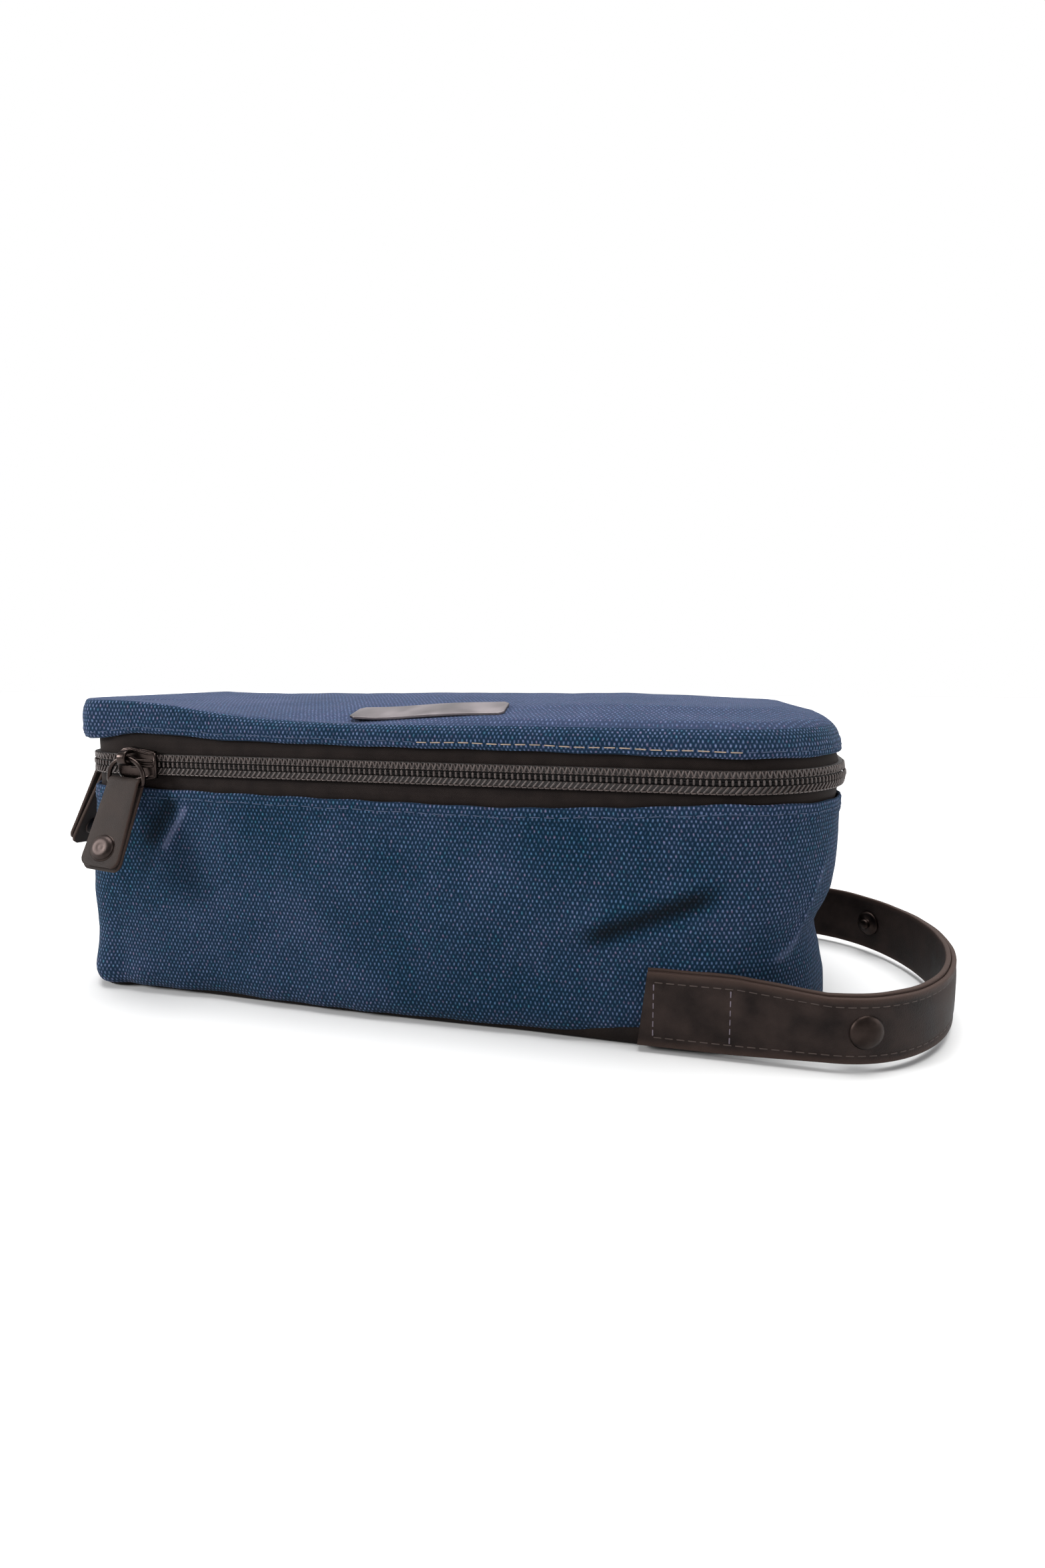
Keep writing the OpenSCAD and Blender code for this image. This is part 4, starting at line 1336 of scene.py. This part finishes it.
def at_rivet(obj, pull, out, facing_out):
    """Puts a rivet head drawn round Z on the tab's outer or inner face."""
    centre = pull.on_bar([(0, RIVET_UP - TAB_L, out)])[0]
    x_axis, y_axis, z_axis = pull.leaned(swung_out(np.diag([1.0, facing_out, facing_out])))
    place(obj, centre, x_axis, y_axis, z_axis)


def sweep_strip(name, path, widths, half_t, material, pull):
    """A strip whose width changes along a path in the plane x = 0, with softly rounded edges."""
    tangent = unit(np.gradient(path, axis=0))
    normal = np.cross(np.array([1.0, 0, 0]), tangent)
    soft = 0.38
    corner = np.radians([0, 30, 60, 90])
    rim = [(soft * math.cos(a) - soft, half_t - soft + soft * math.sin(a)) for a in corner]
    loop = []
    for face in (1, -1):
        loop += [(face, dx, face, dn) for dx, dn in rim]
        loop += [(face * x, 0.0, face, half_t) for x in (0.6, 0.2, -0.2, -0.6)]
        loop += [(-face, dx, face, dn) for dx, dn in rim[::-1]]
    verts, cloth, edge = [], [], []
    length = path_lengths(path)
    for i in range(len(path)):
        half = max(0.4, widths[i] / 2)
        for sx, dx, sn, dn in loop:
            x = sx * half + (np.sign(sx) * dx if abs(sx) == 1 else 0)
            point = path[i] + np.array([x, 0, 0]) + normal[i] * sn * dn
            verts.append(point)
            cloth.append((x, length[i], sn))
            edge.append(1.0 if abs(sx) == 1 and dx > -soft * 0.95 else 0.0)
    obj = new_object(name, pull.on_bar(verts), tube_faces(len(path), len(loop)), material)
    fix_normals(obj)
    attribute(obj, "cloth", np.array(cloth))
    attribute(obj, "edge", np.array(edge))
    sharpen(obj, 50)
    return obj


def build_pulls():
    front_x = (box_mm("front_slider_body")[0][0] + box_mm("front_slider_body")[1][0]) / 2
    left_y = (box_mm("left_slider_body")[0][1] + box_mm("left_slider_body")[1][1]) / 2
    pulls = (Pull("front", (front_x, -HALF_D, ZIP_Z), (1, 0, 0), (0, -1, 0), 5),
             Pull("left", (-HALF_L, left_y, ZIP_Z), (0, 1, 0), (-1, 0, 0), 5))
    for pull in pulls:
        build_slider(pull)
        build_ring(pull)
        build_tab(pull)


# ---------------------------------------------------------------- the handle

PLY_T = 1.6
PATCH_BOX = box_mm("front_patch_outer_ply")
LOOP_BOX = box_mm("front_loop_outer_ply")
PATCH_X = PATCH_BOX[0][0]
ARM_X = joint_mm("handle_squeeze")[0]
CURVE_X = joint_mm("front_loop_bend")[0]
LOOP_A = LOOP_BOX[1][0] - CURVE_X - PLY_T
LOOP_B = HALF_D + PLY_T
CUT_X = 109.0
SNAP_T = {"front": math.radians(76.5), "back": math.radians(49)}


def strap_edge(x, which):
    """Height of the strap's lower edge (which = 0) or upper edge (1): it narrows past the patch."""
    share = np.clip((np.asarray(x, float) - 97) / (CURVE_X - 97), 0, 1)
    return PATCH_BOX[which][2] + share * (LOOP_BOX[which][2] - PATCH_BOX[which][2])


def loop_point(t, out):
    return np.array([CURVE_X + (LOOP_A + out) * math.cos(t), -(LOOP_B + out) * math.sin(t)])


def strap_path(out, step=1.6):
    """Plan path of the front half of the strap, `out` from the middle of its thickness."""
    xs = np.concatenate([np.arange(PATCH_X, CUT_X - 0.5, step), np.arange(CUT_X, CURVE_X - 0.5, step)])
    straight = [(x, -LOOP_B - out) for x in xs]
    turns = np.linspace(math.pi / 2, 0, 62)
    return np.array(straight + [tuple(loop_point(t, out)) for t in turns])


def in_run(x, run):
    return x <= CUT_X + 1e-6 if run == "near" else x >= CUT_X - 1e-6


def ply(name, side, layer, run, trim):
    """A run of one ply of the strap. layer is 0 for the inner ply and 1 for the outer, and trim
    is how far in its two edges lie from the strap's."""
    path = strap_path((layer - 0.5) * PLY_T)
    length = path_lengths(path)
    tangent = unit(np.gradient(path, axis=0))
    normal = np.column_stack([tangent[:, 1], -tangent[:, 0]])
    keep = in_run(path[:, 0], run)
    path, length, normal = path[keep], length[keep], normal[keep]
    half_t, soft = PLY_T / 2 - 0.05, 0.45
    face = [(0, 0, -1)] + [(0, soft * (1 - math.cos(a)), math.sin(a) - 1) for a in np.radians([30, 60, 90])]
    face += [(0.1, 0, 0), (0.14, 0, -0.5 * layer), (0.19, 0, 0.3 * layer), (0.35, 0, 0.5 * layer),
             (0.65, 0, 0.5 * layer), (0.81, 0, 0.3 * layer), (0.86, 0, -0.5 * layer), (0.9, 0, 0)]
    face += [(1, -soft * (1 - math.cos(a)), math.sin(a) - 1) for a in np.radians([90, 60, 30])] + [(1, 0, -1)]
    profile = [(f, dz, half_t + soft * k) for f, dz, k in face]
    profile += [(f, dz, -half_t - soft * min(k, 0) * (f in (0, 1))) for f, dz, k in reversed(face)]
    low = strap_edge(path[:, 0], 0) + trim
    high = strap_edge(path[:, 0], 1) - trim
    wave = 0.1 * np.sin(length * 0.11 + 0.8) + 0.05 * np.sin(length * 0.37)
    verts, cloth, edge = [], [], []
    skew = 2.6 * (1 - smooth(PATCH_X, PATCH_X + 14, path[:, 0]))
    for i in range(len(path)):
        for f, dz, o in profile:
            z = low[i] + f * (high[i] - low[i]) + dz + wave[i] * f
            x, y = path[i] + normal[i] * o
            verts.append((x + skew[i] * (f - 0.5), y, z))
            cloth.append((length[i], z, o))
            edge.append(1.0 if f in (0, 1) else 0.0)
    verts = np.array(verts)
    if side > 0:
        verts[:, 1] *= -1
    obj = new_object(name, verts, tube_faces(len(path), len(profile)), strap_leather)
    fix_normals(obj)
    attribute(obj, "cloth", np.array(cloth))
    attribute(obj, "edge", np.array(edge))
    sharpen(obj, 50)
    return obj


def bend_of(side, run):
    """The two bodies a run of strap bends between, and where it bends."""
    word = "front" if side < 0 else "back"
    y = side * LOOP_B * MM
    if run == "near":
        return "bag_body", word + "_arm", ((ARM_X - 5) * MM, y, 0), ((ARM_X + 5) * MM, y, 0)
    return word + "_arm", word + "_loop", ((CURVE_X - 6) * MM, y, 0), ((CURVE_X + 6) * MM, y, 0)


def strap_stitches(side, run, which, name, material):
    """Thread dashes in the grooves of the strap's outer face, over one run."""
    path = strap_path(PLY_T - 0.28)
    length = path_lengths(path)
    at = np.arange(3.6, length[-1] - 1.5, 3.3)
    ends = [np.column_stack([np.interp(at + d, length, path[:, 0]), np.interp(at + d, length, path[:, 1])])
            for d in (0, 2.0)]
    keep = in_run(ends[0][:, 0] + 1.0, run)
    points = []
    for end in ends:
        low, high = strap_edge(end[keep, 0], 0), strap_edge(end[keep, 0], 1)
        z = low + (0.14 if which == 0 else 0.86) * (high - low)
        points.append(np.column_stack([end[keep, 0], end[keep, 1] * (1 if side < 0 else -1), z]))
    thread_row(name, points[0], points[1], material, bend=bend_of(side, run), radius=0.2)


def build_strap():
    for side in (-1, 1):
        word = "front" if side < 0 else "back"
        for layer, kind, trim in ((0, "inner", -0.25), (1, "outer", 0.35)):
            for run, stretches in (("near", ("patch", "arm")), ("far", ("loop",))):
                piece = ply(f"{word}_strap_{kind}_{run}", side, layer, run, trim)
                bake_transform(piece)
                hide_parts(*[f"{word}_{stretch}_{kind}_ply" for stretch in stretches])
        for run in ("near", "far"):
            for which, place_name in ((0, "low"), (1, "up")):
                strap_stitches(side, run, which, f"{word}_strap_stitches_{run}_{place_name}", dark_thread)
        patch_columns(side, word)
    build_snaps()


def patch_columns(side, word):
    """The two upright rows of stitches that hold the strap to the bag."""
    y = side * (HALF_D + 2 * PLY_T + 0.04)
    zs = np.arange(PATCH_BOX[0][2] + 4.0, PATCH_BOX[1][2] - 4.6, 2.75)
    for number, x in enumerate((PATCH_X + 3.2, 94.9)):
        a = np.column_stack([np.full(len(zs), x), np.full(len(zs), y), zs])
        thread_row(f"{word}_patch_stitches_{number}", a, a + [0, 0, 1.5], grey_thread,
                   "bag_body", radius=0.22)


def build_snaps():
    height = float(strap_edge(CURVE_X, 0) + strap_edge(CURVE_X, 1)) / 2
    cap = [(0, 1.5), (1.8, 1.42), (3.4, 1.1), (4.5, 0.6), (5.0, 0.1), (5.0, -0.2), (0, -0.2)]
    socket = [(0, 0.7), (2.0, 0.7), (2.2, 2.0), (3.0, 2.35), (4.2, 2.1), (4.6, 1.2), (4.6, -0.3), (0, -0.3)]
    stud = [(0, 3.1), (1.2, 3.05), (1.9, 2.6), (1.7, 1.6), (1.75, 0.9), (3.8, 0.95), (4.6, 0.5), (4.6, -0.3),
            (0, -0.3)]
    halves = (("front", 1, ("snap_socket_ring", socket, "snap_socket")),
              ("back", -1, ("snap_stud_post", stud, "snap_stud")))
    for word, flip, (inner_name, inner_shape, inner_node) in halves:
        t = SNAP_T[word]
        lean = math.atan2(math.cos(t) / LOOP_A, math.sin(t) / LOOP_B)
        outward = np.array([math.sin(lean), -math.cos(lean) * flip, 0])
        pieces = ((word + "_snap_dome", cap, PLY_T + 0.1, 1, word + "_snap_cap"),
                  (inner_name, inner_shape, -PLY_T - 0.15, -1, inner_node))
        for name, profile, out, facing_out, node in pieces:
            centre = np.append(loop_point(t, out) * [1, flip], height)
            up, z_axis = np.array([0, 0, 1.0]), outward * facing_out
            obj = lathe(name, profile, rivet_metal)
            place(obj, centre, np.cross(up, z_axis), up, z_axis)
            fix_to(obj, word + "_loop", "snap_metal", node)


# ---------------------------------------------------------------- floor, light and camera

FLOOR_GREY = 197
OVERHEAD, KEY, SIDE_LIGHT, DIM = 6.0, 16.0, 6.0, 0.3
FLOOR_HALF = 3.0                                       # half the floor's side, in metres
CAMERA_AT, LENS_MM, SHIFT_Y = (0.09048, -0.28909, 0.1121), 18.605, -0.0104
CAMERA_DOWN, CAMERA_TURN = 7.05, 13.91                 # degrees below level, and to the left


def build_stage():
    m = Nodes("floor")
    m.finish(srgb(FLOOR_GREY, FLOOR_GREY, FLOOR_GREY), 0.9, Specular_IOR_Level=0.0)
    corners = [(x * FLOOR_HALF, y * FLOOR_HALF, -0.0002) for x, y in ((-1, -1), (1, -1), (1, 1), (-1, 1))]
    floor = new_object("floor", np.array(corners) / MM, [(0, 1, 2, 3)], m.material, False)
    build_world()
    sun = bpy.data.lights.new("overhead", "SUN")
    sun.energy = OVERHEAD
    sun.angle = math.radians(50)
    linked("overhead", sun).rotation_euler = (math.radians(-8), 0, 0)
    area_light("key", (-0.95, -0.66, 0.5), 0.35, KEY)
    area_light("right", (1.1, -0.1, 0.35), 0.6, SIDE_LIGHT)


def build_world():
    """A studio that is white behind the bag and dim in front of it."""
    world = bpy.data.worlds.new("studio")
    bpy.context.scene.world = world
    world.use_nodes = True
    tree = world.node_tree
    split = tree.nodes.new("ShaderNodeSeparateXYZ")
    tree.links.new(tree.nodes.new("ShaderNodeTexCoord").outputs["Generated"], split.inputs[0])
    ramp = tree.nodes.new("ShaderNodeMapRange")
    tree.links.new(split.outputs[1], ramp.inputs[0])
    for socket, value in enumerate((0.0, 0.45, DIM, 1.0), 1):
        ramp.inputs[socket].default_value = value
    background = tree.nodes["Background"]
    background.inputs[0].default_value = (1, 1, 1, 1)
    tree.links.new(ramp.outputs[0], background.inputs[1])


def area_light(name, at, size, power):
    data = bpy.data.lights.new(name, "AREA")
    data.shape = "DISK"
    data.size = size
    data.energy = power
    obj = linked(name, data)
    obj.location = at
    obj.rotation_mode = "QUATERNION"
    obj.rotation_quaternion = (Vector((0, 0, 0.05)) - Vector(at)).to_track_quat("-Z", "Y")


def build_camera():
    data = bpy.data.cameras.new("camera")
    data.sensor_width = 36
    data.lens = LENS_MM
    data.shift_y = SHIFT_Y
    data.clip_start = 0.01
    obj = linked("camera", data)
    obj.location = CAMERA_AT
    obj.rotation_euler = (math.radians(90 - CAMERA_DOWN), 0, math.radians(CAMERA_TURN))
    bpy.context.scene.camera = obj


build_body_canvas()
build_lid_canvas()
build_lining()
build_base()
build_board()
build_zip()
build_hinge()
build_zip_end_tabs()
build_hem_stitches()
build_nameplate()
build_pulls()
build_strap()
build_stage()
build_camera()
bpy.context.scene.view_settings.view_transform = "Standard"
